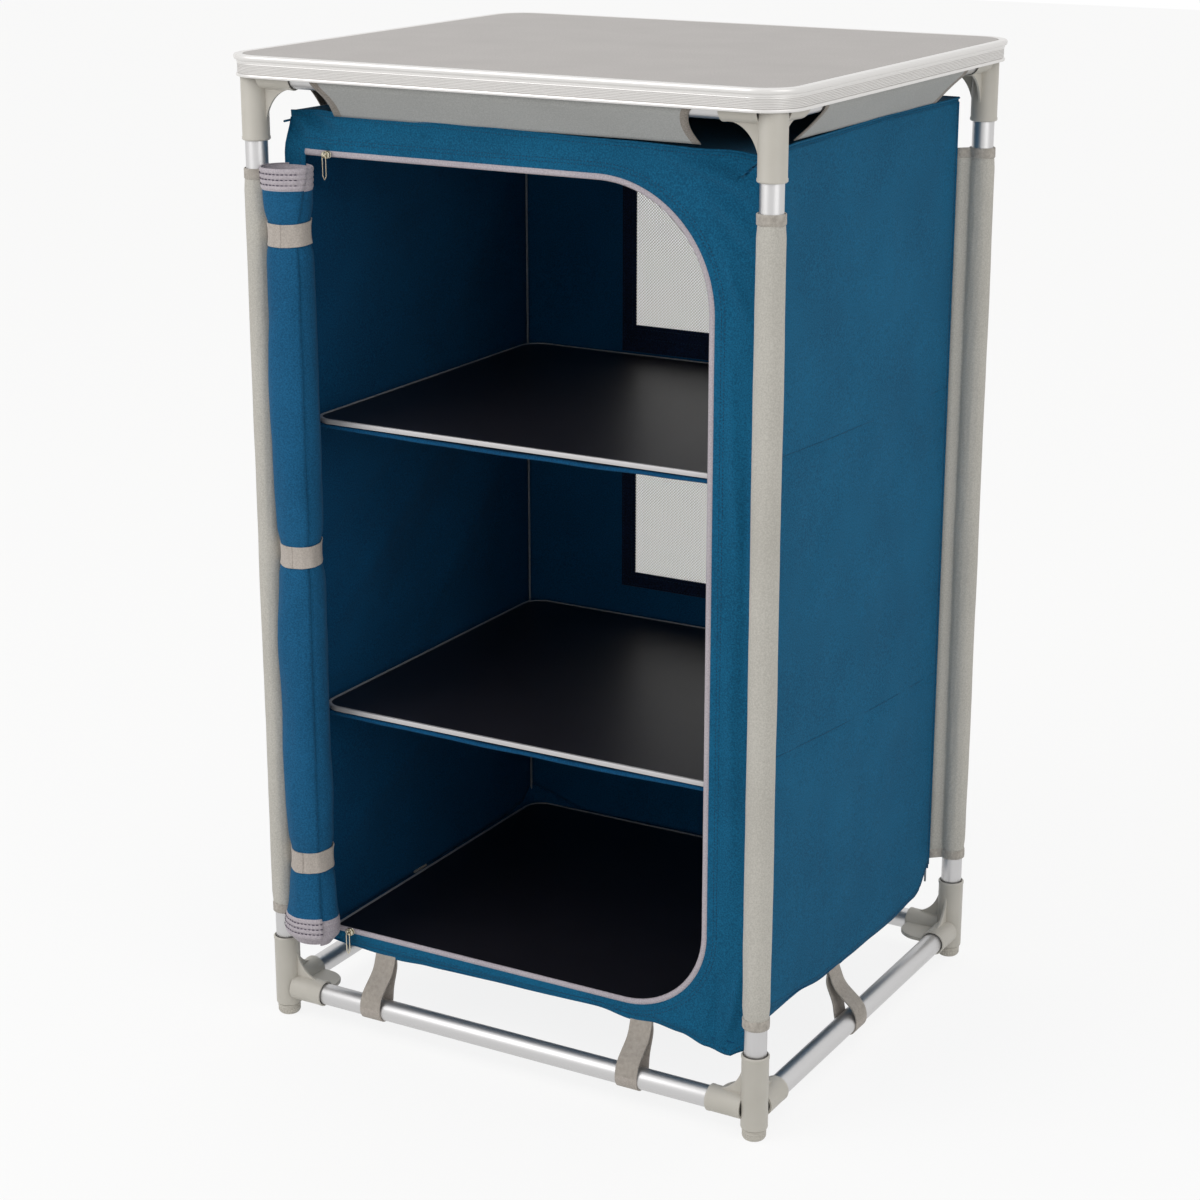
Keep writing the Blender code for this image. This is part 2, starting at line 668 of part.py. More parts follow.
def build_back_wall():
    """Back wall with two window openings and its two hold-down straps."""
    outlines = [wall_outline(CAB_W / 2), window_outline(0, 0), window_outline(1, 0)]
    wall = turned_to(plate_mesh(outlines, CLOTH_T), UPRIGHT_X)
    wall.transform(Matrix.Translation((0, CAB_D / 2 - CLOTH_T / 2, 0)))
    reach = LEG_SPAN_Y / 2 - CAB_D / 2 + CLOTH_T / 2
    straps = []
    for x in STRAP_FRONT_X:
        strap = strap_mesh(reach, strap_rise(x, CAB_W / 2, CUT))
        strap.transform(Matrix.Rotation(pi, 4, "Z"))
        strap.transform(Matrix.Translation((x, LEG_SPAN_Y / 2, BASE_RAIL_Z)))
        straps.append(strap)
    add_object("cabinet_back", combined(wall, straps, "UNION"), BLUE_CLOTH)


def build_side_walls():
    """Left and right walls between the front and the back."""
    mesh = turned_to(plate_mesh([wall_outline(INNER_HALF_D)], CLOTH_T), UPRIGHT_Y)
    for side, sign in (("left", -1), ("right", 1)):
        add_object("cabinet_" + side, mesh, BLUE_CLOTH, (sign * (CAB_W - CLOTH_T) / 2, 0, 0))


def level_cloth(name, z, half_d, shift=0.0):
    """Level sheet of cloth between the side walls, its top face at z."""
    outline = [(-INNER_HALF_W, -half_d), (INNER_HALF_W, -half_d),
               (INNER_HALF_W, half_d), (-INNER_HALF_W, half_d)]
    add_object(name, plate_mesh([outline], CLOTH_T), BLUE_CLOTH, (0, shift, z - CLOTH_T / 2))


def build_level_cloths():
    """Roof, floor and the slings that carry the two shelves."""
    level_cloth("cabinet_roof", CAB_TOP_Z, INNER_HALF_D)
    level_cloth("cabinet_floor", FLOOR_CLOTH_Z + CLOTH_T, INNER_HALF_D)
    sling_half = (BOARD_D / 2 + BOARD_SHIFT_Y + INNER_HALF_D) / 2
    shift = INNER_HALF_D - sling_half
    for name, top in zip(("upper", "middle"), SHELF_TOP_Z):
        level_cloth("shelf_sling_" + name, top - BOARD_T - GAP, sling_half, shift)


def build_boards(carriers):
    """Three loose boards that lie on the slings and on the cabinet floor."""
    outline = rounded_rectangle(BOARD_W / 2, BOARD_D / 2, BOARD_R)
    mesh = plate_mesh([outline], BOARD_T)
    for name, carrier in carriers:
        board = add_object(name, mesh, BOARD, (0, 0, -BOARD_T / 2), parent=carrier)
        bevel = board.modifiers.new("eased_edge", "BEVEL")
        bevel.width = BOARD_EDGE_BEVEL
        bevel.segments = 1


def build_nets():
    """Two window nets of crossing strands, each one flat lattice."""
    for index, name in enumerate(("upper", "lower")):
        corners = window_outline(index, GAP)
        columns = lattice_lines(corners[0][0], corners[1][0], NET_COLUMNS)
        rows = lattice_lines(corners[0][1], corners[2][1], NET_ROWS)
        form = bmesh.new()
        grid = [[form.verts.new((x, 0, z)) for x in columns] for z in rows]
        for j in range(len(rows) - 1):
            for i in range(len(columns) - 1):
                if i % 2 and j % 2:
                    continue
                form.faces.new((grid[j][i], grid[j][i + 1], grid[j + 1][i + 1], grid[j + 1][i]))
        mesh = bpy.data.meshes.new("net")
        form.to_mesh(mesh)
        form.free()
        net = add_object("window_net_" + name, mesh, NET, (0, CAB_D / 2 - CLOTH_T / 2, 0))
        wall = net.modifiers.new("strand_thickness", "SOLIDIFY")
        wall.thickness = NET_T
        wall.offset = 0


def lattice_lines(low, high, gaps):
    """Edges of the strands that leave a number of gaps between two ends."""
    hole = (high - low - NET_STRAND * (gaps + 1)) / gaps
    lines = []
    for i in range(gaps + 1):
        start = low + i * (NET_STRAND + hole)
        lines += [start, start + NET_STRAND]
    return lines


# Door: zip, sliders, pulls, roll and ties
def build_zip_tape():
    """Zip tape along the opening's top, right and base edges."""
    inset = -ZIP_R - GAP
    path = door_path(inset)
    start_x = DOOR_LEFT_X + ZIP_START
    path = [(start_x, path[0][1])] + path + [(start_x, path[-1][1])]
    curve = bpy.data.curves.new("zip", "CURVE")
    curve.dimensions = "3D"
    curve.bevel_depth = ZIP_R
    curve.bevel_resolution = 1
    curve.use_fill_caps = True
    line = curve.splines.new("POLY")
    line.points.add(len(path) - 1)
    for point, (x, z) in zip(line.points, path):
        point.co = (x, 0, z, 1)
    mesh = frozen(add_object("zip", curve))
    add_object("door_zip_tape", mesh, ZIP_TAPE, (0, FRONT_Y + CLOTH_T / 2, 0))


def slider_mesh():
    """Zip slider: a rounded wedge with a loop on its front, at the origin."""
    form = bmesh.new()
    bmesh.ops.create_cube(form, size=1)
    bmesh.ops.scale(form, vec=(SLIDER_L, SLIDER_T, SLIDER_H), verts=form.verts)
    bmesh.ops.bevel(form, geom=form.edges[:], offset=SLIDER_BEVEL, segments=1,
                    affect="EDGES")
    mesh = bpy.data.meshes.new("slider")
    form.to_mesh(mesh)
    form.free()
    ring = turned_mesh(arc((SLIDER_LOOP_R, 0), (SLIDER_LOOP_WIRE, SLIDER_LOOP_WIRE),
                           0, -tau * (1 - 1 / ARC_STEPS), ARC_STEPS - 1))
    ring.transform(TO_X)
    ring.transform(Matrix.Translation((0, -SLIDER_T / 2 - SLIDER_LOOP_STAND, 0)))
    return combined(mesh, [ring], "UNION")


def pull_mesh():
    """Long flat loop whose top bar turns about the origin inside the slider's ring."""
    half = PULL_W / 2
    top = PULL_BAR / 2
    tip = top - PULL_L
    outer = [(-half, top), (-half, tip), (half, tip), (half, top)]
    inner_half = half - PULL_BAR
    inner = [(-inner_half, top - PULL_BAR), (-inner_half, tip + PULL_BAR),
             (inner_half, tip + PULL_BAR), (inner_half, top - PULL_BAR)]
    return turned_to(plate_mesh([outer, inner], PULL_T), UPRIGHT_X)


def build_sliders(carriers):
    """Two zip sliders and their pulls."""
    slider = slider_mesh()
    pull = pull_mesh()
    ring_y = -SLIDER_T / 2 - SLIDER_LOOP_STAND - PULL_HANG_Y
    for name, carrier in carriers:
        add_object("zip_slider_" + name, slider, ZIP_METAL, parent=carrier)
        add_object("zip_pull_" + name, pull, ZIP_METAL, (0, ring_y, -PULL_HANG_Z),
                   parent=carrier)


def roll_ring(z, widen, inset=0.0):
    """Oval ring of the rolled door, relative to its hinge line."""
    half_w = ROLL_HALF_W + widen - inset
    half_d = ROLL_HALF_D + min(widen, 0) - inset
    x = ROLL_X - DOOR_AXIS[0]
    y = ROLL_Y - DOOR_AXIS[1]
    return [(x + half_w * cos(tau * i / ROLL_SIDES), y + half_d * sin(tau * i / ROLL_SIDES), z)
            for i in range(ROLL_SIDES)]


def roll_mesh():
    """Rolled door: an oval roll, pinched under its ties, with hollow ends."""
    rings = [roll_ring(ROLL_BASE_Z + ROLL_CUP_D, 0, ROLL_SKIN),
             roll_ring(ROLL_BASE_Z, 0, ROLL_SKIN), roll_ring(ROLL_BASE_Z, 0)]
    edges = [ROLL_BASE_Z] + list(TIE_Z) + [ROLL_TOP_Z]
    for i, z in enumerate(TIE_Z):
        rings += [roll_ring((edges[i] + z) / 2, -TIE_PINCH / 4),
                  roll_ring(z - TIE_H / 2, -TIE_PINCH), roll_ring(z + TIE_H / 2, -TIE_PINCH)]
    rings += [roll_ring((TIE_Z[-1] + ROLL_TOP_Z) / 2, -TIE_PINCH / 4), roll_ring(ROLL_TOP_Z, 0),
              roll_ring(ROLL_TOP_Z, 0, ROLL_SKIN), roll_ring(ROLL_TOP_Z - ROLL_CUP_D, 0, ROLL_SKIN)]
    return lofted_mesh(rings)


def build_door(carrier):
    """The rolled door and the three ties that hold it."""
    smoothed(add_object("door_roll", roll_mesh(), BLUE_CLOTH, parent=carrier))
    half_w = ROLL_HALF_W - TIE_PINCH + GAP
    half_d = ROLL_HALF_D - TIE_PINCH + GAP
    centre = (ROLL_X - DOOR_AXIS[0], ROLL_Y - DOOR_AXIS[1])
    outlines = [arc(centre, (half_w + grow, half_d + grow), 0, tau * (1 - 1 / ROLL_SIDES),
                    ROLL_SIDES - 1) for grow in (TIE_T, 0)]
    mesh = plate_mesh(outlines, TIE_H)
    for name, z in zip(("base", "middle", "top"), TIE_Z):
        add_object("door_tie_" + name, mesh, WEBBING, (0, 0, z), parent=carrier)


# Top flaps and leg sleeves
def flap_mesh(reach, top_half, base_half):
    """Flap that wraps a rail along X at the origin and runs down to (reach, drop)."""
    radius = TUBE_R + GAP + FLAP_T / 2
    drop = CAB_TOP_Z + GAP + FLAP_T / 2 - TOP_RAIL_Z
    distance = hypot(reach, drop)
    leave = atan2(drop, reach) - acos(radius / distance)
    path = arc((0, 0), (radius, radius), FLAP_TUCK_ANGLE - pi / 2, leave + tau, 2 * ARC_STEPS)
    halves = [top_half] * len(path) + [base_half]
    path.append((reach, drop))
    form = bmesh.new()
    rows = [(form.verts.new((-half, y, z)), form.verts.new((half, y, z)))
            for half, (y, z) in zip(halves, path)]
    for low, high in zip(rows, rows[1:]):
        form.faces.new((low[0], low[1], high[1], high[0]))
    mesh = bpy.data.meshes.new("flap")
    form.to_mesh(mesh)
    form.free()
    obj = add_object("flap", mesh)
    wall = obj.modifiers.new("cloth", "SOLIDIFY")
    wall.thickness = FLAP_T
    wall.offset = 0
    return frozen(obj)


def build_flaps():
    """Four grey flaps that hang the cabinet from the top rails."""
    reach = LEG_SPAN_Y / 2 - CAB_D / 2
    mesh = flap_mesh(reach, FLAP_TOP_HALVES[0], FLAP_BASE_HALVES[0])
    for side, sign, turn in (("front", -1, 0), ("rear", 1, pi)):
        smoothed(add_object("top_flap_" + side, mesh, GREY_CLOTH,
                            (0, sign * LEG_SPAN_Y / 2, TOP_RAIL_Z), (0, 0, turn)))
    reach = LEG_SPAN_X / 2 - CAB_W / 2
    mesh = flap_mesh(reach, FLAP_TOP_HALVES[1], FLAP_BASE_HALVES[1])
    for side, sign in (("left", -1), ("right", 1)):
        smoothed(add_object("top_flap_" + side, mesh, GREY_CLOTH,
                            (sign * LEG_SPAN_X / 2, 0, TOP_RAIL_Z), (0, 0, sign * pi / 2)))


def sleeve_mesh():
    """Leg sleeve with a sewn web that points to the cabinet's corner, front left."""
    reach = (LEG_SPAN_X - CAB_W) / 2, (LEG_SPAN_Y - CAB_D) / 2
    towards = atan2(reach[1], reach[0])
    length = hypot(*reach) - SLEEVE_WEB_T / 2 - GAP
    half = asin(SLEEVE_WEB_T / 2 / SLEEVE_R)
    outer = arc((0, 0), (SLEEVE_R, SLEEVE_R), towards + half, towards + tau - half, ROUND_STEPS)
    along = Vector((cos(towards), sin(towards)))
    across = Vector((-along.y, along.x)) * SLEEVE_WEB_T / 2
    outer += [tuple(along * length - across), tuple(along * length + across)]
    bore = TUBE_R + GAP
    inner = arc((0, 0), (bore, bore), 0, tau * (1 - 1 / ROUND_STEPS), ROUND_STEPS - 1)
    return plate_mesh([outer, inner], SLEEVE_TOP_Z - SLEEVE_BASE_Z)


def build_leg_sleeves():
    """Four cloth sleeves round the legs, each sewn to a corner of the cabinet."""
    middle = (SLEEVE_TOP_Z + SLEEVE_BASE_Z) / 2
    right = sleeve_mesh()
    left = right.copy()
    right.transform(Matrix.Scale(-1, 4, Vector((1, 0, 0))))
    right.flip_normals()
    turns = {"front_left": (left, 0), "rear_right": (left, pi),
             "front_right": (right, 0), "rear_left": (right, pi)}
    for corner, sx, sy in CORNERS:
        mesh, turn = turns[corner]
        smoothed(add_object("leg_sleeve_" + corner, mesh, GREY_CLOTH,
                            corner_place(sx, sy, middle), (0, 0, turn)))


def main():
    """Build every part in its place."""
    build_tabletop(add_empty("tabletop_lift", (0, 0, TOP_RAIL_Z)))
    build_top_corners()
    build_rails("top", TOP_RAIL_Z)
    build_legs()
    build_rails("base", BASE_RAIL_Z)
    build_base_corners()
    build_feet()
    build_front_wall()
    build_back_wall()
    build_side_walls()
    build_level_cloths()
    build_nets()
    floor_board_z = FLOOR_CLOTH_Z + CLOTH_T + GAP + BOARD_T
    heights = (*SHELF_TOP_Z, floor_board_z)
    names = ("shelf_board_upper", "shelf_board_middle", "shelf_board_floor")
    build_boards([(name, add_empty(name + "_lift", (0, BOARD_SHIFT_Y, z)))
                  for name, z in zip(names, heights)])
    build_zip_tape()
    slider_y = FRONT_Y + CLOTH_T / 2 - ZIP_R - GAP - SLIDER_T / 2
    zip_z = {"top": DOOR_TOP_Z - ZIP_R - GAP, "base": DOOR_BASE_Z + ZIP_R + GAP}
    build_sliders([(name, add_empty("zip_" + name + "_travel", (SLIDER_X, slider_y, z)))
                   for name, z in zip_z.items()])
    build_door(add_empty("door_hinge", (*DOOR_AXIS, 0)))
    build_flaps()
    build_leg_sleeves()
    build_straps()


main()
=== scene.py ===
"""Looks of the camping kitchen cupboard: every visible piece, its finish, light and camera.

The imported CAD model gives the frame. Metres, +Z up, the open front faces -Y.
"""

import logging
from collections.abc import Callable, Iterable, Sequence
from dataclasses import dataclass, field
from enum import Enum
from math import acos, atan2, ceil, cos, exp, hypot, pi, radians, sin, tau

import bmesh
import bpy
from mathutils import Matrix, Vector, noise


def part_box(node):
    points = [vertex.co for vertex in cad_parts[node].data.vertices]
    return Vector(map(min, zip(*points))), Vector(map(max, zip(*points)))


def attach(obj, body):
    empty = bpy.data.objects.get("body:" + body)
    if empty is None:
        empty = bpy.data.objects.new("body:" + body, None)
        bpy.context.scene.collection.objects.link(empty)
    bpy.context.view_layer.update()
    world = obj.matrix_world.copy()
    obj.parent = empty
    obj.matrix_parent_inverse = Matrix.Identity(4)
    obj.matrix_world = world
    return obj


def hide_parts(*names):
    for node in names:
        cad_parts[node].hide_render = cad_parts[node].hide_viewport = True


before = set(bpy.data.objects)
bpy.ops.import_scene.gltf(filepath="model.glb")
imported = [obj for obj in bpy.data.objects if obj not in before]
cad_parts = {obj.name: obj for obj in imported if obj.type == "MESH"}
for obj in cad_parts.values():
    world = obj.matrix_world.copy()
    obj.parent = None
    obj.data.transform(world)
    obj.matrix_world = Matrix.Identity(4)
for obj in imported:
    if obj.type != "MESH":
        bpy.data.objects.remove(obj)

LOG = logging.getLogger("cupboard")
STATIC = "frame_and_cabinet"
UV_NAME = "cloth_uv"


class Held(Enum):
    HUNG = "hung"
    DRAPED = "draped"
    GATHERED = "gathered"
    LAID = "laid"
    FOLDED = "folded"
    STRETCHED = "stretched"


# ---------------------------------------------------------------- node helpers
def linear(code: str) -> tuple[float, float, float, float]:
    """Turn an sRGB hex colour into linear light.

    Args:
        code: Six hex digits.

    Returns:
        Red, green, blue and a full alpha.
    """
    def channel(text: str) -> float:
        """Turn one channel into linear light."""
        share = int(text, 16) / 255
        return share / 12.92 if share <= 0.04045 else ((share + 0.055) / 1.055) ** 2.4

    return channel(code[0:2]), channel(code[2:4]), channel(code[4:6]), 1.0


def add_node(tree: bpy.types.NodeTree, kind: str, inputs: dict | None = None,
        **settings: object) -> bpy.types.Node:
    """Add one node, set it up and link or fill its inputs.

    Args:
        tree: Tree that gets the node.
        kind: Node type identifier.
        inputs: Socket name or number to a value or to an output socket.
        **settings: Properties of the node.

    Returns:
        The new node.
    """
    node = tree.nodes.new(kind)
    for name, value in settings.items():
        setattr(node, name, value)
    for key, value in (inputs or {}).items():
        socket = node.inputs[key]
        if isinstance(value, bpy.types.NodeSocket):
            tree.links.new(value, socket)
        else:
            socket.default_value = value
    return node


def seen_directly(tree: bpy.types.NodeTree) -> bpy.types.Node:
    """Tell what the camera, gloss and clear matter see from what lights the scene.

    Args:
        tree: Tree that gets the nodes.

    Returns:
        Node whose first output is 1 for a ray that is seen.
    """
    rays = add_node(tree, "ShaderNodeLightPath")
    seen = add_node(tree, "ShaderNodeMath", {0: rays.outputs["Is Camera Ray"],
        1: rays.outputs["Is Glossy Ray"]}, operation="MAXIMUM")
    return add_node(tree, "ShaderNodeMath", {0: seen.outputs[0],
        1: rays.outputs["Is Transmission Ray"]}, operation="MAXIMUM")


# ---------------------------------------------------------------- finishes
@dataclass(frozen=True)
class Finish:
    """Plain finish with one colour; the others add texture to it."""

    name: str
    colour: str
    roughness: float = 0.6
    metallic: float = 0.0

    def build(self) -> bpy.types.Material:
        """Make the material.

        Returns:
            A material with a Principled shader.
        """
        material = bpy.data.materials.new(self.name)
        material.use_nodes = True
        tree = material.node_tree
        shader = tree.nodes["Principled BSDF"]
        shader.inputs["Base Color"].default_value = linear(self.colour)
        shader.inputs["Roughness"].default_value = self.roughness
        shader.inputs["Metallic"].default_value = self.metallic
        self.dress(tree, shader)
        return material

    def dress(self, tree: bpy.types.NodeTree, shader: bpy.types.Node) -> None:
        """Add texture to the plain shader.

        Args:
            tree: The material's tree.
            shader: Its Principled shader.
        """

    def tint(self, tree: bpy.types.NodeTree, shader: bpy.types.Node,
            factor: bpy.types.NodeSocket, dark: str, light: str) -> None:
        """Blend two colours by a factor into the shader's base colour.

        Args:
            tree: The material's tree.
            shader: Its Principled shader.
            factor: Socket from 0, dark, to 1, light.
            dark: Hex colour at 0.
            light: Hex colour at 1.
        """
        mix = add_node(tree, "ShaderNodeMix", {"Factor": factor, "A": linear(dark),
            "B": linear(light)}, data_type="RGBA")
        tree.links.new(mix.outputs[2], shader.inputs["Base Color"])


@dataclass(frozen=True)
class WovenCloth(Finish):
    """Plain-woven polyester with threads both ways, lint and soft fading."""

    shade: str = "000000"
    pitch: float = 0.0009
    relief: float = 0.00012
    sheen: float = 0.15

    def dress(self, tree: bpy.types.NodeTree, shader: bpy.types.Node) -> None:
        """Add the weave's relief and the cloth's uneven colour."""
        metres = add_node(tree, "ShaderNodeUVMap", uv_map=UV_NAME)
        bands = [add_node(tree, "ShaderNodeTexWave",
            {"Vector": metres.outputs[0], "Scale": 0.314 / self.pitch,
            "Distortion": 0.6, "Detail": 1.0, "Detail Scale": 0.4},
            bands_direction=axis) for axis in ("X", "Y")]
        weave = add_node(tree, "ShaderNodeMath", {0: bands[0].outputs["Fac"],
            1: bands[1].outputs["Fac"]}, operation="MULTIPLY")
        place = add_node(tree, "ShaderNodeTexCoord")
        fade = add_node(tree, "ShaderNodeTexNoise",
            {"Vector": place.outputs["Object"], "Scale": 11.0, "Detail": 3.0})
        lint = add_node(tree, "ShaderNodeTexNoise",
            {"Vector": place.outputs["Object"], "Scale": 700.0, "Detail": 2.0})
        blend = add_node(tree, "ShaderNodeMath", {0: fade.outputs["Fac"], 1: 0.3,
            2: lint.outputs["Fac"]}, operation="MULTIPLY_ADD")
        level = add_node(tree, "ShaderNodeMapRange",
            {"Value": blend.outputs[0], "From Min": 0.48, "From Max": 0.82})
        self.tint(tree, shader, level.outputs[0], self.shade, self.colour)
        bump = add_node(tree, "ShaderNodeBump", {"Height": weave.outputs[0],
            "Strength": 0.6, "Distance": self.relief})
        tree.links.new(bump.outputs[0], shader.inputs["Normal"])
        shader.inputs["Sheen Weight"].default_value = self.sheen
        shader.inputs["Sheen Roughness"].default_value = 0.5
        shader.inputs["Specular IOR Level"].default_value = 0.15


@dataclass(frozen=True)
class FuzzyWebbing(Finish):
    """Hook-and-loop webbing with a matted, fibrous face."""

    shade: str = "000000"

    def dress(self, tree: bpy.types.NodeTree, shader: bpy.types.Node) -> None:
        """Add matted fibres."""
        place = add_node(tree, "ShaderNodeTexCoord")
        fibres = add_node(tree, "ShaderNodeTexNoise",
            {"Vector": place.outputs["Object"], "Scale": 1100.0,
            "Detail": 4.0, "Roughness": 0.7, "Distortion": 1.5})
        clumps = add_node(tree, "ShaderNodeTexNoise",
            {"Vector": place.outputs["Object"], "Scale": 260.0, "Detail": 3.0})
        both = add_node(tree, "ShaderNodeMath", {0: fibres.outputs["Fac"],
            1: clumps.outputs["Fac"]}, operation="ADD")
        level = add_node(tree, "ShaderNodeMapRange",
            {"Value": both.outputs[0], "From Min": 0.7, "From Max": 1.25})
        self.tint(tree, shader, level.outputs[0], self.shade, self.colour)
        bump = add_node(tree, "ShaderNodeBump", {"Height": both.outputs[0],
            "Strength": 0.8, "Distance": 0.0006})
        tree.links.new(bump.outputs[0], shader.inputs["Normal"])
        shader.inputs["Sheen Weight"].default_value = 0.35
        shader.inputs["Specular IOR Level"].default_value = 0.15


@dataclass(frozen=True)
class SatinAluminium(Finish):
    """Anodised aluminium tube with fine drawn lines along it."""

    def dress(self, tree: bpy.types.NodeTree, shader: bpy.types.Node) -> None:
        """Add drawn lines along the tube to its roughness and relief."""
        metres = add_node(tree, "ShaderNodeUVMap", uv_map=UV_NAME)
        drawn = add_node(tree, "ShaderNodeMapping", {"Vector": metres.outputs[0],
            "Scale": (2600.0, 14.0, 1.0)})
        lines = add_node(tree, "ShaderNodeTexNoise", {"Vector": drawn.outputs[0],
            "Scale": 1.0, "Detail": 3.0})
        rough = add_node(tree, "ShaderNodeMapRange",
            {"Value": lines.outputs["Fac"], "To Min": self.roughness - 0.06,
            "To Max": self.roughness + 0.10})
        tree.links.new(rough.outputs[0], shader.inputs["Roughness"])
        bump = add_node(tree, "ShaderNodeBump", {"Height": lines.outputs["Fac"],
            "Strength": 0.12, "Distance": 0.0001})
        tree.links.new(bump.outputs[0], shader.inputs["Normal"])


@dataclass(frozen=True)
class MouldedPlastic(Finish):
    """Injection-moulded ABS with a fine spark-eroded grain."""

    shade: str = "000000"

    def dress(self, tree: bpy.types.NodeTree, shader: bpy.types.Node) -> None:
        """Add the mould's grain and slight colour flow."""
        place = add_node(tree, "ShaderNodeTexCoord")
        grain = add_node(tree, "ShaderNodeTexNoise", {"Vector": place.outputs["Object"],
            "Scale": 2400.0, "Detail": 2.0})
        flow = add_node(tree, "ShaderNodeTexNoise", {"Vector": place.outputs["Object"],
            "Scale": 28.0, "Detail": 2.0})
        self.tint(tree, shader, flow.outputs["Fac"], self.shade, self.colour)
        bump = add_node(tree, "ShaderNodeBump", {"Height": grain.outputs["Fac"],
            "Strength": 0.2, "Distance": 0.00015})
        tree.links.new(bump.outputs[0], shader.inputs["Normal"])


@dataclass(frozen=True)
class SpeckledLaminate(Finish):
    """High-pressure laminate with a fine two-tone speckle under a satin melamine coat."""

    dark: str = "000000"
    light: str = "FFFFFF"

    def dress(self, tree: bpy.types.NodeTree, shader: bpy.types.Node) -> None:
        """Add the speckle, the soft mottling and the coat's light texture."""
        place = add_node(tree, "ShaderNodeTexCoord")
        speck = add_node(tree, "ShaderNodeTexNoise", {"Vector": place.outputs["Object"],
            "Scale": 520.0, "Detail": 3.0, "Roughness": 0.7})
        cloud = add_node(tree, "ShaderNodeTexNoise", {"Vector": place.outputs["Object"],
            "Scale": 16.0, "Detail": 4.0})
        level = add_node(tree, "ShaderNodeMapRange",
            {"Value": speck.outputs["Fac"], "From Min": 0.35, "From Max": 0.65})
        mixed = add_node(tree, "ShaderNodeMath", {0: level.outputs[0], 1: cloud.outputs["Fac"]},
            operation="MULTIPLY")
        self.tint(tree, shader, mixed.outputs[0], self.dark, self.light)
        bump = add_node(tree, "ShaderNodeBump", {"Height": speck.outputs["Fac"],
            "Strength": 0.08, "Distance": 0.0001})
        tree.links.new(bump.outputs[0], shader.inputs["Normal"])
        shader.inputs["Coat Weight"].default_value = 0.15
        shader.inputs["Coat Roughness"].default_value = 0.3


@dataclass(frozen=True)
class StudioFloor(Finish):
    """Matt white floor that keeps a faint shadow and otherwise shows as white."""

    glow: float = 0.86

    def dress(self, tree: bpy.types.NodeTree, shader: bpy.types.Node) -> None:
        """Show white to the camera and in gloss, over the lit floor."""
        through = seen_directly(tree)
        share = add_node(tree, "ShaderNodeMath", {0: through.outputs[0], 1: self.glow},
            operation="MULTIPLY")
        white = add_node(tree, "ShaderNodeEmission", {"Color": (1, 1, 1, 1), "Strength": 1.0})
        both = add_node(tree, "ShaderNodeMixShader", {0: share.outputs[0], 1: shader.outputs[0],
            2: white.outputs[0]})
        tree.links.new(both.outputs[0], tree.nodes["Material Output"].inputs[0])


# Colours were read from the photograph.
LAMINATE = SpeckledLaminate("speckled_laminate", "B4AEA8", 0.42, dark="938D89", light="B4AEAA")
RIM_METAL = SatinAluminium("rim_aluminium", "E2E0DE", 0.36, 0.55)
TUBE_METAL = SatinAluminium("tube_aluminium", "CBCACA", 0.38, 0.95)
ABS = MouldedPlastic("moulded_abs", "C8C4BC", 0.45, shade="BBB7AE")
BLUE = WovenCloth("blue_polyester", "14648B", 0.9, shade="0B4B6C", sheen=0.02)
ROLL_BLUE = WovenCloth("rolled_polyester", "1C5F89", 0.9, shade="124A6E", sheen=0.03)
NAVY = WovenCloth("navy_lining", "09537F", 0.85, shade="053C60", sheen=0.02)
GREY = WovenCloth("flap_polyester", "B3B4B3", 0.85, shade="A4A5A4", sheen=0.05)
SLEEVE_GREY = WovenCloth("sleeve_polyester", "C6C3BC", 0.85, shade="B4B1AA", sheen=0.1)
BINDING = WovenCloth("taupe_binding", "9B948D", 0.8, shade="827B74", pitch=0.0007)
NAVY_BINDING = WovenCloth("navy_binding", "16294A", 0.8, shade="070F1E", pitch=0.0016)
PIPING = WovenCloth("grey_piping", "9AA0A8", 0.7, shade="868C94", pitch=0.0006)
WEBBING = FuzzyWebbing("loop_webbing", "B3ACA4", 0.95, shade="9D958D")
SMOOTH_WEB = WovenCloth("flat_webbing", "BBB3AC", 0.8, shade="A8A099", pitch=0.0013)
ELASTIC = FuzzyWebbing("elastic_band", "C6C0B8", 0.95, shade="A19A92")
TAPE = WovenCloth("zip_tape", "BFB8BE", 0.75, shade="A79FA8", pitch=0.0006)
COIL = Finish("zip_coil", "CBC3C8", 0.45)
NET = Finish("cream_net", "F1EDE2", 0.8)
BOARD = MouldedPlastic("black_foiled_board", "1D1B21", 0.42, shade="131218")
TRIM = SatinAluminium("board_trim", "C2C0C1", 0.45, 0.35)
NICKEL = Finish("nickel_plate", "C9C2AE", 0.25, 1.0)
# Stitch thread, much darker than the cloth: partly the thread's own navy, partly painted shade of
# the puckers along the stitched seams.
THREAD_WITH_PAINTED_SHADE = Finish("blue_thread_with_painted_shade", "0A3654", 0.8)
PLUM_THREAD = Finish("plum_thread", "3A3048", 0.8)
FLOOR = StudioFloor("studio_floor", "F4F4F2", 0.9)

MADE: dict[str, bpy.types.Material] = {}


def material(finish: Finish) -> bpy.types.Material:
    """Give a finish's material, which is built once.

    Args:
        finish: The finish.

    Returns:
        Its material.
    """
    if finish.name not in MADE:
        MADE[finish.name] = finish.build()
    return MADE[finish.name]


# ---------------------------------------------------------------- shapes
def arc(centre: tuple[float, float], radius: float, start: float, end: float,
        steps: int) -> list[tuple[float, float]]:
    """Points along a round arc, both ends included.

    Args:
        centre: Middle of the arc.
        radius: Its radius.
        start: First angle in radians.
        end: Last angle.
        steps: Number of chords.

    Returns:
        The points.
    """
    return [(centre[0] + radius * cos(start + (end - start) * i / steps),
        centre[1] + radius * sin(start + (end - start) * i / steps)) for i in range(steps + 1)]


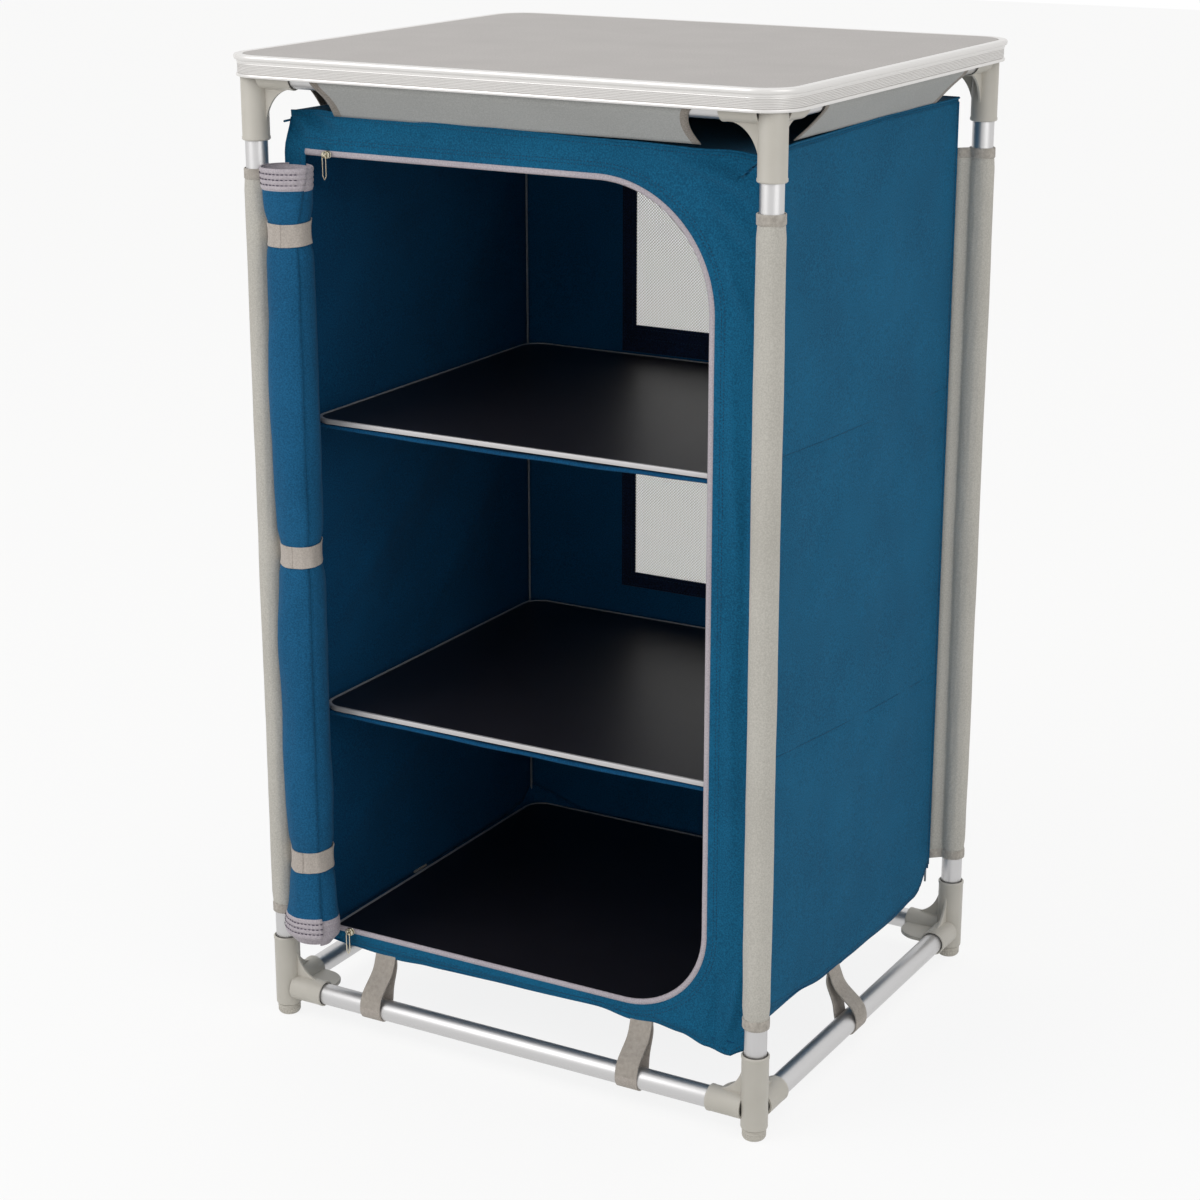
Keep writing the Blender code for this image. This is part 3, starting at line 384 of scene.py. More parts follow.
def rounded_rectangle(half_w: float, half_d: float, radius: float,
        steps: int = 14) -> list[tuple[float, float]]:
    """Outline of a rectangle with round corners, anticlockwise.

    Args:
        half_w: Half its width.
        half_d: Half its depth.
        radius: Corner radius.
        steps: Chords in each corner.

    Returns:
        The points.
    """
    points: list[tuple[float, float]] = []
    for i, (sx, sy) in enumerate(((1, 1), (-1, 1), (-1, -1), (1, -1))):
        points += arc((sx * (half_w - radius), sy * (half_d - radius)), radius,
            i * pi / 2, (i + 1) * pi / 2, steps)
    return points


def follow(points: Sequence[tuple[float, float]], at: float) -> float:
    """Read a softly rounded line through points of rising first value.

    Args:
        points: (place, value) pairs.
        at: Place to read.

    Returns:
        The value there.
    """
    if at <= points[0][0]:
        return points[0][1]
    for (x0, y0), (x1, y1) in zip(points, points[1:]):
        if at <= x1:
            share = (at - x0) / (x1 - x0)
            return y0 + (y1 - y0) * share * share * (3 - 2 * share)
    return points[-1][1]


def spread(low: float, high: float, step: float) -> list[float]:
    """Even places between two ends, at most a step apart.

    Args:
        low: First place.
        high: Last place.
        step: Largest distance.

    Returns:
        The places.
    """
    count = max(1, ceil(abs(high - low) / step - 1e-6))
    return [low + (high - low) * i / count for i in range(count + 1)]


def ripple(place: Vector, size: float, seed: float = 0.0) -> float:
    """Smooth chance variation between about -1 and 1.

    Args:
        place: Point to read.
        size: Length of one swell in metres.
        seed: Shift for another pattern.

    Returns:
        The variation.
    """
    return noise.noise(place / size + Vector((seed, seed * 1.7, seed * 0.6)))


class Skin:
    """Faces of one piece, each with its place on the cloth in metres."""

    def __init__(self) -> None:
        """Start with nothing."""
        self.form = bmesh.new()
        self.uv = self.form.loops.layers.uv.new(UV_NAME)

    def grid(self, rows: Sequence[Sequence[Vector]], closed: bool = False,
            slot: int | Callable[[int, int], int] = 0,
            skip: Callable[[int, int], bool] | None = None) -> "Skin":
        """Add quads through rows of points.

        Args:
            rows: Rows of equal length.
            closed: Whether each row's end meets its start.
            slot: Material slot of the faces, or what gives it for (row, column).
            skip: Says which face (row, column) is left out.

        Returns:
            The skin itself.
        """
        verts = [[self.form.verts.new(point) for point in row] for row in rows]
        count = len(rows[0])
        last = count if closed else count - 1
        across = [0.0]
        for low, high in zip(rows, rows[1:]):
            across.append(across[-1] + (Vector(high[0]) - Vector(low[0])).length)
        along = [0.0]
        middle = rows[len(rows) // 2]
        for j in range(last):
            along.append(along[-1] + (Vector(middle[(j + 1) % count]) - Vector(middle[j])).length)
        for i in range(len(rows) - 1):
            for j in range(last):
                if skip and skip(i, j):
                    continue
                k = (j + 1) % count
                corners = (verts[i][j], verts[i][k], verts[i + 1][k], verts[i + 1][j])
                places = ((along[j], across[i]), (along[j + 1], across[i]),
                    (along[j + 1], across[i + 1]), (along[j], across[i + 1]))
                self.face(corners, places, slot(i, j) if callable(slot) else slot)
        return self

    def face(self, corners: Sequence[bmesh.types.BMVert],
            places: Sequence[tuple[float, float]], slot: int = 0) -> None:
        """Add one face.

        Args:
            corners: Its vertices in order.
            places: Each corner's place on the cloth.
            slot: Material slot.
        """
        face = self.form.faces.new(corners)
        face.material_index = slot
        face.smooth = True
        for loop, place in zip(face.loops, places):
            loop[self.uv].uv = place

    def cap(self, ring: Sequence[Vector], slot: int = 0) -> "Skin":
        """Close an end with one flat face.

        Args:
            ring: Points round the end, in the order of the wanted normal.
            slot: Material slot.

        Returns:
            The skin itself.
        """
        verts = [self.form.verts.new(point) for point in ring]
        self.face(verts, [(point[0], point[1]) for point in ring], slot)
        return self

    def object(self, name: str, finishes: Sequence[Finish], weld: float = 1e-6,
            sharp: float | None = None, outward: bool = False) -> bpy.types.Object:
        """Make the piece.

        Args:
            name: Its name.
            finishes: One finish for each slot.
            weld: Distance under which points join, or 0.
            sharp: Angle in radians over which edges stay sharp.
            outward: Whether normals are turned outward.

        Returns:
            The linked object.
        """
        if weld:
            bmesh.ops.remove_doubles(self.form, verts=self.form.verts, dist=weld)
        if outward:
            bmesh.ops.recalc_face_normals(self.form, faces=self.form.faces)
        mesh = bpy.data.meshes.new(name)
        self.form.to_mesh(mesh)
        self.form.free()
        for finish in finishes:
            mesh.materials.append(material(finish))
        if sharp is not None:
            mesh.set_sharp_from_angle(angle=sharp)
        obj = bpy.data.objects.new(name, mesh)
        bpy.context.scene.collection.objects.link(obj)
        return obj


def settle(obj: bpy.types.Object) -> bpy.types.Object:
    """Turn an object's modifiers into plain mesh.

    Args:
        obj: Object to settle.

    Returns:
        The same object.
    """
    graph = bpy.context.evaluated_depsgraph_get()
    plain = bpy.data.meshes.new_from_object(obj.evaluated_get(graph))
    old = obj.data
    obj.modifiers.clear()
    obj.data = plain
    plain.name = obj.name
    if old.users == 0:
        bpy.data.meshes.remove(old)
    return obj


def thicken(obj: bpy.types.Object, thickness: float, inner_slot: int = 0,
        edge_slot: int = 0) -> bpy.types.Object:
    """Give cloth its thickness on the inner side of its faces.

    Args:
        obj: Sheet to thicken.
        thickness: Cloth thickness in metres.
        inner_slot: Slots to move on for the inner side.
        edge_slot: Slots to move on for the cut edge.

    Returns:
        The same object, as plain mesh.
    """
    cloth = obj.modifiers.new("cloth", "SOLIDIFY")
    cloth.thickness = thickness
    cloth.offset = -1.0
    cloth.material_offset = inner_slot
    cloth.material_offset_rim = edge_slot
    return settle(obj)


def turned(skin: Skin, profile: Sequence[tuple[float, float]], matrix: Matrix,
        steps: int = 48, slot: int = 0, closed: bool = True) -> Skin:
    """Turn a (radius, height) section about Z and place it.

    Args:
        skin: Skin that gets the faces.
        profile: Section points, running down its outer side.
        matrix: Place and turn.
        steps: Facets round.
        slot: Material slot.
        closed: Whether the section's end meets its start.

    Returns:
        The skin.
    """
    section = list(profile) + ([profile[0]] if closed else [])
    rows = [[matrix @ Vector((r * cos(tau * i / steps), r * sin(tau * i / steps), z))
        for i in range(steps)] for r, z in reversed(section)]
    return skin.grid(rows, closed=True, slot=slot)


def eased(points: Sequence[tuple[float, float]], ease: float,
        steps: int = 3) -> list[tuple[float, float]]:
    """Round each corner of a closed section a little.

    Args:
        points: Section corners.
        ease: Length taken off each side of a corner.
        steps: Chords in each rounding.

    Returns:
        The section with its corners rounded.
    """
    result: list[tuple[float, float]] = []
    count = len(points)
    for i, point in enumerate(points):
        here = Vector(point)
        before = Vector(points[i - 1]) - here
        after = Vector(points[(i + 1) % count]) - here
        cut = min(ease, before.length / 2.2, after.length / 2.2)
        start = here + before.normalized() * cut
        end = here + after.normalized() * cut
        for k in range(steps + 1):
            t = k / steps
            result.append(tuple(start * (1 - t) ** 2 + here * 2 * t * (1 - t) + end * t * t))
    return result


def prism(skin: Skin, outline: Sequence[tuple[float, float]], thickness: float,
        matrix: Matrix, ease: float = 0.0004, slot: int = 0) -> Skin:
    """Add a plate with eased edges from an outline in its XY plane, centred on Z.

    Args:
        skin: Skin that gets the faces.
        outline: Anticlockwise outline.
        thickness: Plate thickness.
        matrix: Place and turn.
        ease: Edge rounding.
        slot: Material slot.

    Returns:
        The skin.
    """
    inset = offset_outline(outline, -ease)
    half = thickness / 2
    layers = ((inset, -half), (outline, -half + ease), (outline, half - ease), (inset, half))
    rows = [[matrix @ Vector((x, y, z)) for x, y in line] for line, z in layers]
    skin.grid(rows, closed=True, slot=slot)
    skin.cap(list(reversed(rows[0])), slot)
    skin.cap(rows[-1], slot)
    return skin


def offset_outline(outline: Sequence[tuple[float, float]],
        grow: float) -> list[tuple[float, float]]:
    """Move a closed outline outwards along its own normals.

    Args:
        outline: Anticlockwise points.
        grow: Distance, negative for inwards.

    Returns:
        The moved points.
    """
    moved = []
    count = len(outline)
    for i, (x, y) in enumerate(outline):
        px, py = outline[i - 1]
        nx, ny = outline[(i + 1) % count]
        tx, ty = nx - px, ny - py
        length = hypot(tx, ty) or 1.0
        moved.append((x + ty / length * grow, y - tx / length * grow))
    return moved


def frame_band(skin: Skin, outer: Sequence[tuple[float, float]],
        inner: Sequence[tuple[float, float]], thickness: float, matrix: Matrix,
        ease: float = 0.0003, slot: int = 0) -> Skin:
    """Add a closed flat frame between two outlines of equal count, centred on Z.

    Args:
        skin: Skin that gets the faces.
        outer: Outer outline, anticlockwise.
        inner: Inner outline, point for point.
        thickness: Its thickness.
        matrix: Place and turn.
        ease: Edge rounding.
        slot: Material slot.

    Returns:
        The skin.
    """
    half = thickness / 2
    less, more = offset_outline(outer, -ease), offset_outline(inner, ease)
    layers = ((less, -half), (outer, -half + ease), (outer, half - ease), (less, half),
        (more, half), (inner, half - ease), (inner, -half + ease), (more, -half), (less, -half))
    rows = [[matrix @ Vector((x, y, z)) for x, y in line] for line, z in layers]
    return skin.grid(rows, closed=True, slot=slot)


def swept_rim(skin: Skin, section: Sequence[tuple[float, float]], half_w: float,
        half_d: float, radius: float, place: Vector, steps: int = 14) -> Skin:
    """Sweep a closed (outward, up) section round a rectangle with round corners.

    Args:
        skin: Skin that gets the faces.
        section: The section's points.
        half_w: Half the rectangle's width.
        half_d: Half its depth.
        radius: Its corner radius.
        place: The rectangle's middle.
        steps: Chords in each corner.

    Returns:
        The skin.
    """
    rows = []
    for out, z in [*section, section[0]]:
        outline = rounded_rectangle(half_w + out, half_d + out, radius + out, steps)
        rows.append([place + Vector((x, y, z)) for x, y in outline])
    return skin.grid(rows, closed=True)


def smooth_path(points: Sequence[Sequence[float]], per: int = 8,
        closed: bool = False) -> list[Vector]:
    """Draw a soft curve through points.

    Args:
        points: Points to pass.
        per: Steps between two points.
        closed: Whether the curve closes on itself.

    Returns:
        The curve's points.
    """
    given = [Vector(point) for point in points]
    count = len(given)

    def at(i: int) -> Vector:
        """Give the point at a place that may lie past an end."""
        return given[i % count] if closed else given[max(0, min(count - 1, i))]

    result = []
    for i in range(count if closed else count - 1):
        a, b, c, d = at(i - 1), at(i), at(i + 1), at(i + 2)
        for k in range(per):
            t = k / per
            result.append(0.5 * (2 * b + (c - a) * t + (2 * a - 5 * b + 4 * c - d) * t * t
                + (3 * b - a - 3 * c + d) * t ** 3))
    if not closed:
        result.append(given[-1])
    return result


def place_piece(obj: bpy.types.Object, body: str,
        nodes: Iterable[str] = ()) -> bpy.types.Object:
    """Hand a finished piece to the frame.

    Args:
        obj: The piece.
        body: CAD body that it rides on.
        nodes: CAD nodes that it stands for.

    Returns:
        The piece.
    """
    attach(obj, body)
    if nodes:
        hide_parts(*nodes)
    LOG.info("%s: %d faces on %s", obj.name, len(obj.data.polygons), body)
    return obj


# ---------------------------------------------------------------- rows along a path
@dataclass
class BeadRow:
    """Geometry Nodes tree that sets small rounded beads along a path.

    It makes stitches, zip coils, elastic gathers and grip ribs.
    """

    tree: bpy.types.NodeTree = field(init=False)

    def __post_init__(self) -> None:
        """Build the tree with its named inputs."""
        tree = bpy.data.node_groups.new("bead_row", "GeometryNodeTree")
        tree.is_modifier = True
        face = tree.interface
        face.new_socket("Geometry", in_out="INPUT", socket_type="NodeSocketGeometry")
        for name, kind, value in (("Pitch", "NodeSocketFloat", 0.0035),
                ("Size", "NodeSocketVector", (0.001, 0.0003, 0.0003)),
                ("Out", "NodeSocketVector", (0, -1, 0)), ("Uneven", "NodeSocketFloat", 0.1),
                ("Seed", "NodeSocketInt", 1), ("Finish", "NodeSocketMaterial", None)):
            socket = face.new_socket(name, in_out="INPUT", socket_type=kind)
            if value is not None:
                socket.default_value = value
        face.new_socket("Geometry", in_out="OUTPUT", socket_type="NodeSocketGeometry")
        given = add_node(tree, "NodeGroupInput").outputs
        curve = add_node(tree, "GeometryNodeMeshToCurve", {"Mesh": given["Geometry"]})
        spaced = add_node(tree, "GeometryNodeResampleCurve",
            {"Curve": curve.outputs[0], "Length": given["Pitch"]}, mode="LENGTH")
        tangent = add_node(tree, "GeometryNodeInputTangent")
        along = add_node(tree, "FunctionNodeAlignRotationToVector",
            {"Vector": tangent.outputs[0]}, axis="X")
        turned_out = add_node(tree, "FunctionNodeAlignRotationToVector",
            {"Rotation": along.outputs[0], "Vector": given["Out"]}, axis="Z", pivot_axis="X")
        bead = add_node(tree, "GeometryNodeMeshIcoSphere", {"Radius": 1.0, "Subdivisions": 1})
        low = add_node(tree, "ShaderNodeMath", {0: 1.0, 1: given["Uneven"]}, operation="SUBTRACT")
        high = add_node(tree, "ShaderNodeMath", {0: 1.0, 1: given["Uneven"]}, operation="ADD")
        chance = add_node(tree, "FunctionNodeRandomValue",
            {"Min": low.outputs[0], "Max": high.outputs[0],
            "Seed": given["Seed"]}, data_type="FLOAT")
        # The float sockets of Random Value share names with its vector sockets.
        tree.links.new(low.outputs[0], chance.inputs[2])
        tree.links.new(high.outputs[0], chance.inputs[3])
        size = add_node(tree, "ShaderNodeVectorMath",
            {0: given["Size"], "Scale": chance.outputs[1]}, operation="SCALE")
        beads = add_node(tree, "GeometryNodeInstanceOnPoints",
            {"Points": spaced.outputs[0], "Instance": bead.outputs[0],
            "Rotation": turned_out.outputs[0], "Scale": size.outputs[0]})
        real = add_node(tree, "GeometryNodeRealizeInstances", {0: beads.outputs[0]})
        smooth = add_node(tree, "GeometryNodeSetShadeSmooth", {0: real.outputs[0]})
        done = add_node(tree, "GeometryNodeSetMaterial", {"Geometry": smooth.outputs[0],
            "Material": given["Finish"]})
        add_node(tree, "NodeGroupOutput", {0: done.outputs[0]})
        self.tree = tree

    def run(self, name: str, paths: Sequence[Sequence[Vector]], finish: Finish,
            pitch: float, size: tuple[float, float, float],
            out: tuple[float, float, float] = (0, -1, 0), closed: bool = False,
            uneven: float = 0.1, seed: int = 1) -> bpy.types.Object:
        """Set beads along paths and settle them into one piece.

        Args:
            name: Name of the piece.
            paths: Lines of points.
            finish: Finish of the beads.
            pitch: Distance between beads.
            size: Half sizes along the path, across it and outwards.
            out: Outward direction.
            closed: Whether each path closes on itself.
            uneven: Share by which the beads vary in size.
            seed: Seed of that variation.

        Returns:
            The piece.
        """
        points: list[Vector] = []
        edges: list[tuple[int, int]] = []
        for path in paths:
            start = len(points)
            points += [Vector(point) for point in path]
            edges += [(start + i, start + i + 1) for i in range(len(path) - 1)]
            if closed:
                edges.append((len(points) - 1, start))
        mesh = bpy.data.meshes.new(name)
        mesh.from_pydata(points, edges, [])
        obj = bpy.data.objects.new(name, mesh)
        bpy.context.scene.collection.objects.link(obj)
        modifier = obj.modifiers.new("beads", "NODES")
        modifier.node_group = self.tree
        values = {"Pitch": pitch, "Size": size, "Out": out, "Uneven": uneven,
            "Seed": seed, "Finish": material(finish)}
        for item in self.tree.interface.items_tree:
            if item.in_out == "INPUT" and item.name in values:
                modifier[item.identifier] = values[item.name]
        settle(obj)
        if not obj.data.materials:
            obj.data.materials.append(material(finish))
        return obj


BEADS = BeadRow()


# ---------------------------------------------------------------- measured frame
def middle(node: str) -> Vector:
    """Middle of a CAD node's box.

    Args:
        node: Node name.

    Returns:
        The point.
    """
    low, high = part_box(node)
    return (low + high) / 2


CORNERS = (("front_left", -1, -1), ("front_right", 1, -1),
    ("rear_right", 1, 1), ("rear_left", -1, 1))
LEG = Vector((middle("leg_front_right").x, middle("leg_rear_right").y, 0))
TUBE_R = (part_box("leg_front_left")[1].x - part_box("leg_front_left")[0].x) / 2
TOP_RAIL_Z = middle("top_rail_front").z
BASE_RAIL_Z = middle("base_rail_front").z
CAB_LOW, CAB_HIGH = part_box("cabinet_front")[0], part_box("cabinet_back")[1]
HALF_W = CAB_HIGH.x
FRONT_Y = CAB_LOW.y
BACK_Y = -FRONT_Y
CAB_TOP_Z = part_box("cabinet_front")[1].z

# The cabinet's lowest line, read from the photograph at the front and the right side.
FRONT_HEM = ((-0.255, 0.0880), (-0.202, 0.0835), (-0.169, 0.0820), (-0.149, 0.0800),
    (-0.111, 0.0820), (-0.005, 0.0840), (0.091, 0.0860), (0.130, 0.0810),
    (0.155, 0.0840), (0.183, 0.0805), (0.212, 0.0725), (0.236, 0.0685), (0.255, 0.0790))
SIDE_HEM = ((-0.221, 0.0790), (-0.205, 0.0960), (-0.179, 0.1025), (-0.123, 0.0940),
    (-0.041, 0.0845), (-0.016, 0.0830), (0.050, 0.0820), (0.127, 0.0800),
    (0.185, 0.0840), (0.198, 0.0880), (0.206, 0.1020), (0.221, 0.1100))
BACK_HEM = ((-0.255, 0.1050), (-0.165, 0.0820), (0.0, 0.0850), (0.140, 0.0820), (0.255, 0.1050))
LEFT_HEM = ((-0.221, 0.0880), (-0.150, 0.0830), (0.150, 0.0830), (0.198, 0.0880), (0.221, 0.1050))
TOP_EDGE = ((-0.255, 0.9440), (-0.214, 0.9465), (-0.100, 0.9445), (0.120, 0.9410),
    (0.215, 0.9385), (0.255, 0.9350))
SIDE_TOP_EDGE = ((-0.221, 0.9350), (-0.150, 0.9405), (0.050, 0.9430), (0.221, 0.9420))


@dataclass(frozen=True)
class Fold:
    """One crease or swell in a wall, along a line in the wall's own plane."""

    start: tuple[float, float]
    end: tuple[float, float]
    width: float
    height: float

    def at(self, u: float, v: float) -> float:
        """Height of the fold at a point.

        Args:
            u: Place along the wall.
            v: Height.

        Returns:
            Outward displacement in metres.
        """
        du, dv = self.end[0] - self.start[0], self.end[1] - self.start[1]
        length = hypot(du, dv)
        along = ((u - self.start[0]) * du + (v - self.start[1]) * dv) / (length * length)
        near = min(1.0, max(0.0, along))
        distance = hypot(u - self.start[0] - du * near, v - self.start[1] - dv * near)
        taper = sin(pi * min(0.97, max(0.03, near))) ** 0.5
        return self.height * taper * exp(-(distance / self.width) ** 2)


def corner_lean(x: float, z: float) -> float:
    """How far the front leans back at its upper corners, past the ends of the flap.

    Args:
        x: Place across.
        z: Height.

    Returns:
        Distance to the rear.
    """
    side = min(1.0, max(0.0, (abs(x) - 0.188) / 0.045))
    rise = min(1.0, max(0.0, (z - 0.906) / 0.036))
    return 0.012 * side * side * (3 - 2 * side) * rise * rise * (3 - 2 * rise)


def folded(folds: Sequence[Fold], u: float, v: float) -> float:
    """Sum of the folds at a point.

    Args:
        folds: The folds.
        u: Place along the wall.
        v: Height.

    Returns:
        Outward displacement in metres.
    """
    return sum(fold.at(u, v) for fold in folds)


# ---------------------------------------------------------------- tabletop
@dataclass
class Tabletop:
    """Laminate board in a ribbed aluminium rim that lifts off the frame."""

    bead: float = 0.003
    bead_h: float = 0.0052
    wall: float = 0.0016
    lap: float = 0.006
    lip_h: float = 0.0030
    ribs: int = 7
    rib_depth: float = 0.0009

    def build(self) -> None:
        """Make the rim and finish the board."""
        low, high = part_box("tabletop_rim")
        half_x, half_y = high.x - self.bead, high.y - self.bead
        radius = 0.037
        skin = Skin()
        rows = []
        for out, z in self.section(high.z - low.z):
            outline = rounded_rectangle(half_x + out, half_y + out, radius + out, 20)
            rows.append([Vector((x, y, low.z + z)) for x, y in outline])
        rows.append(rows[0])
        skin.grid(rows, closed=True)
        rim = skin.object("rim", [RIM_METAL], sharp=0.7, outward=True)
        place_piece(rim, "tabletop", ["tabletop_rim"])
        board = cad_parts["tabletop_panel"]
        board.data.materials.clear()
        board.data.materials.append(material(LAMINATE))

    def section(self, height: float) -> list[tuple[float, float]]:
        """Closed section of the rim as (outward, up) points.

        Args:
            height: The rim's height.

        Returns:
            The section's points.
        """
        bead, step = self.bead, 0.0022
        mid = height - self.bead_h / 2
        points = [(-self.lap, height - 0.0003), (-self.lap + 0.0004, height)]
        points += [(bead * 0.45 + bead * 0.55 * cos(a), mid + self.bead_h / 2 * sin(a))
            for a in (pi / 2 - pi * i / 8 for i in range(9))]
        points += [(0.0004, height - self.bead_h), (0.0004, height - self.bead_h - step),
            (-0.0003, height - self.bead_h - step - 0.0004)]
        top = height - self.bead_h - step - 0.0005
        pitch = (top - self.lip_h - 0.0006) / self.ribs
        for i in range(self.ribs):
            base = top - pitch * i
            points += [(-0.0001, base - pitch * 0.15), (-0.0001, base - pitch * 0.6),
                (-self.rib_depth, base - pitch * 0.75), (-self.rib_depth, base - pitch * 0.98)]
        points += [(0.0006, self.lip_h), (0.0011, self.lip_h * 0.6), (0.0006, 0.0003),
            (-0.0003, 0.0), (-self.wall, 0.0), (-self.wall, height - 0.0008),
            (-self.lap, height - 0.0008)]
        return points


# ---------------------------------------------------------------- tube frame
@dataclass
class TubeFrame:
    """Twelve aluminium tubes."""

    wall: float = 0.0012

    def build(self) -> None:
        """Make each tube on its CAD node's axis."""
        names = ["leg_" + corner for corner, _, _ in CORNERS]
        names += [level + "_rail_" + side for level in ("top", "base")
            for side in ("front", "rear", "left", "right")]
        for name in names:
            low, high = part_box(name)
            size = high - low
            longest = max(range(3), key=lambda axis: size[axis])
            turn = {0: Matrix.Rotation(pi / 2, 4, "Y"), 1: Matrix.Rotation(-pi / 2, 4, "X"),
                2: Matrix.Identity(4)}[longest]
            length = size[longest]
            inner = TUBE_R - self.wall
            section = eased([(TUBE_R, length / 2), (TUBE_R, -length / 2),
                (inner, -length / 2), (inner, length / 2)], 0.0003, 2)
            skin = turned(Skin(), section, Matrix.Translation((low + high) / 2) @ turn)
            tube = skin.object(name + "_tube", [TUBE_METAL], sharp=0.8, outward=True)
            place_piece(tube, STATIC, [name])


@dataclass
class Connector:
    """Moulded three-way corner with a socket, two arms, two hollow webs and a plate."""

    level: str
    socket_r: float = 0.0135
    arm_r: float = 0.0125
    arm_l: float = 0.048
    lip: float = 0.0009
    web_t: float = 0.0026
    plate_reach: float = 0.046
    plate_r: float = 0.024

    def build(self) -> None:
        """Make the four connectors of one level."""
        top = self.level == "top"
        rail_z = TOP_RAIL_Z if top else BASE_RAIL_Z
        for i, (corner, sx, sy) in enumerate(CORNERS):
            node = f"{self.level}_corner_{corner}"
            low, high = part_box(node)
            ends = low.z - rail_z, high.z - rail_z
            place = Matrix.Translation((sx * LEG.x, sy * LEG.y, rail_z))
            place = place @ Matrix.Rotation(i * pi / 2, 4, "Z")
            skin = Skin()
            self.socket(skin, place, ends, top)
            for turn in (Matrix.Rotation(pi / 2, 4, "Y"), Matrix.Rotation(-pi / 2, 4, "X")):
                self.arm(skin, place @ turn)
            self.webs(skin, place, ends[0] if top else ends[1])
            if not top:
                inner = self.plate_reach - self.plate_r
                outline = [(0, 0), (self.plate_reach, 0)]
                outline += arc((inner, inner), self.plate_r, 0, pi / 2, 14)
                outline.append((0, self.plate_reach))
                prism(skin, outline, 0.004, place, 0.0008)
            body = skin.object(node + "_moulding", [ABS], sharp=0.6, outward=True)
            place_piece(body, STATIC, [node])

    def socket(self, skin: Skin, place: Matrix, ends: tuple[float, float], leg_down: bool) -> None:
        """Add the upright socket, open at the leg's end.

        Args:
            skin: Skin that gets the faces.
            place: The connector's place.
            ends: Lowest and highest height from the rail's axis.
            leg_down: Whether the leg enters from below.
        """
        low, high = ends
        bore, r, lip = TUBE_R + 0.0003, self.socket_r, self.lip
        mouth = [(r - lip, 0), (r, 0.0010), (r, 0.0032), (r - 0.0005, 0.0040)]
        stop = 0.0175
        if leg_down:
            section = [(0, high), (r - 0.0016, high), (r - 0.0005, high - 0.0006),
                (r - 0.0002, high - 0.0016)]
            section += [(rad + 0.0003, low + z) for rad, z in reversed(mouth)]
            section += [(bore + 0.0010, low), (bore + 0.0010, low + 0.003),
                (bore, low + 0.003), (bore, -stop), (0, -stop)]
        else:
            section = [(0, stop), (bore, stop), (bore, high - 0.003),
                (bore + 0.0010, high - 0.003), (bore + 0.0010, high)]
            section += [(rad + 0.0003, high - z) for rad, z in mouth]
            section += [(r - 0.0002, low + 0.0016), (r - 0.0005, low + 0.0006),
                (r - 0.0016, low), (0, low)]
        turned(skin, section, place, closed=False)

    def arm(self, skin: Skin, place: Matrix) -> None:
        """Add one arm with its open mouth.

        Args:
            skin: Skin that gets the faces.
            place: The arm's place, along its Z.
        """
        bore, r, end = TUBE_R + 0.0003, self.arm_r, self.arm_l
        section = [(bore, self.socket_r - 0.003), (bore, end - 0.0025),
            (bore + 0.0006, end - 0.0025), (bore + 0.0006, end),
            (r - 0.0004, end), (r + 0.0002, end - 0.0006), (r + 0.0002, end - 0.0030),
            (r - 0.0001, end - 0.0036), (r, self.socket_r - 0.003)]
        turned(skin, list(reversed(section)), place)

    def webs(self, skin: Skin, place: Matrix, open_end: float) -> None:
        """Add the thin hollow-curved webs between the socket and its arms.

        Args:
            skin: Skin that gets the faces.
            place: The connector's place.
            open_end: Height of the socket's open end from the rail's axis.
        """
        side = 1 if open_end > 0 else -1
        reach, start = self.arm_l - 0.0038, self.socket_r - 0.0010
        low, base = open_end - side * 0.0100, side * (TUBE_R + 0.0002)
        edge, half, ease = base + side * 0.0006, self.web_t / 2, 0.0003
        for turn in (Matrix.Identity(4), Matrix.Rotation(pi / 2, 4, "Z")):
            rows = []
            for k in range(21):
                at = pi / 2 * k / 20
                x, top = reach - (reach - start) * sin(at), low + (edge - low) * cos(at)
                ring = ((-half, base), (half, base), (half, top - side * ease),
                    (half - ease, top), (ease - half, top), (-half, top - side * ease))
                rows.append([place @ turn @ Vector((x, y, z)) for y, z in ring])
            skin.grid(rows, closed=True)
            skin.cap(rows[0])
            skin.cap(rows[-1])


@dataclass
class LevelFoot:
    """Screw-in foot with a ribbed grip."""

    corner: str
    grips: int = 26

    def build(self) -> None:
        """Make the foot and its grip ribs."""
        node = "foot_" + self.corner
        low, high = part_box(node)
        x, y, _ = middle(node)
        top = 0.0112
        place = Matrix.Translation((x, y, 0))
        section = [(0, high.z), (0.0055, high.z), (0.0055, top), (0.0113, top),
            (0.0119, top - 0.0005), (0.0119, top - 0.0014), (0.0114, top - 0.0019),
            (0.0114, top - 0.0024), (0.0119, top - 0.0028), (0.0119, top - 0.0036),
            (0.0112, top - 0.0041), (0.0112, 0.0026), (0.0106, 0.0011),
            (0.0098, 0.0003), (0.0090, 0.0), (0, 0.0)]
        foot = turned(Skin(), section, place, closed=False).object(
            node + "_pad", [ABS], sharp=0.7, outward=True)
        place_piece(foot, node, [node])
        ring = [Vector((x + 0.0111 * cos(tau * i / 96), y + 0.0111 * sin(tau * i / 96), 0.0046))
            for i in range(96)]
        pitch = tau * 0.0111 / self.grips
        ribs = BEADS.run(node + "_grip", [ring], ABS, pitch, (0.0007, 0.0008, 0.0028),
            out=(0, 0, 1), closed=True, uneven=0.0)
        place_piece(ribs, node)


# ---------------------------------------------------------------- cabinet cloth
CLOTH_T = 0.0009


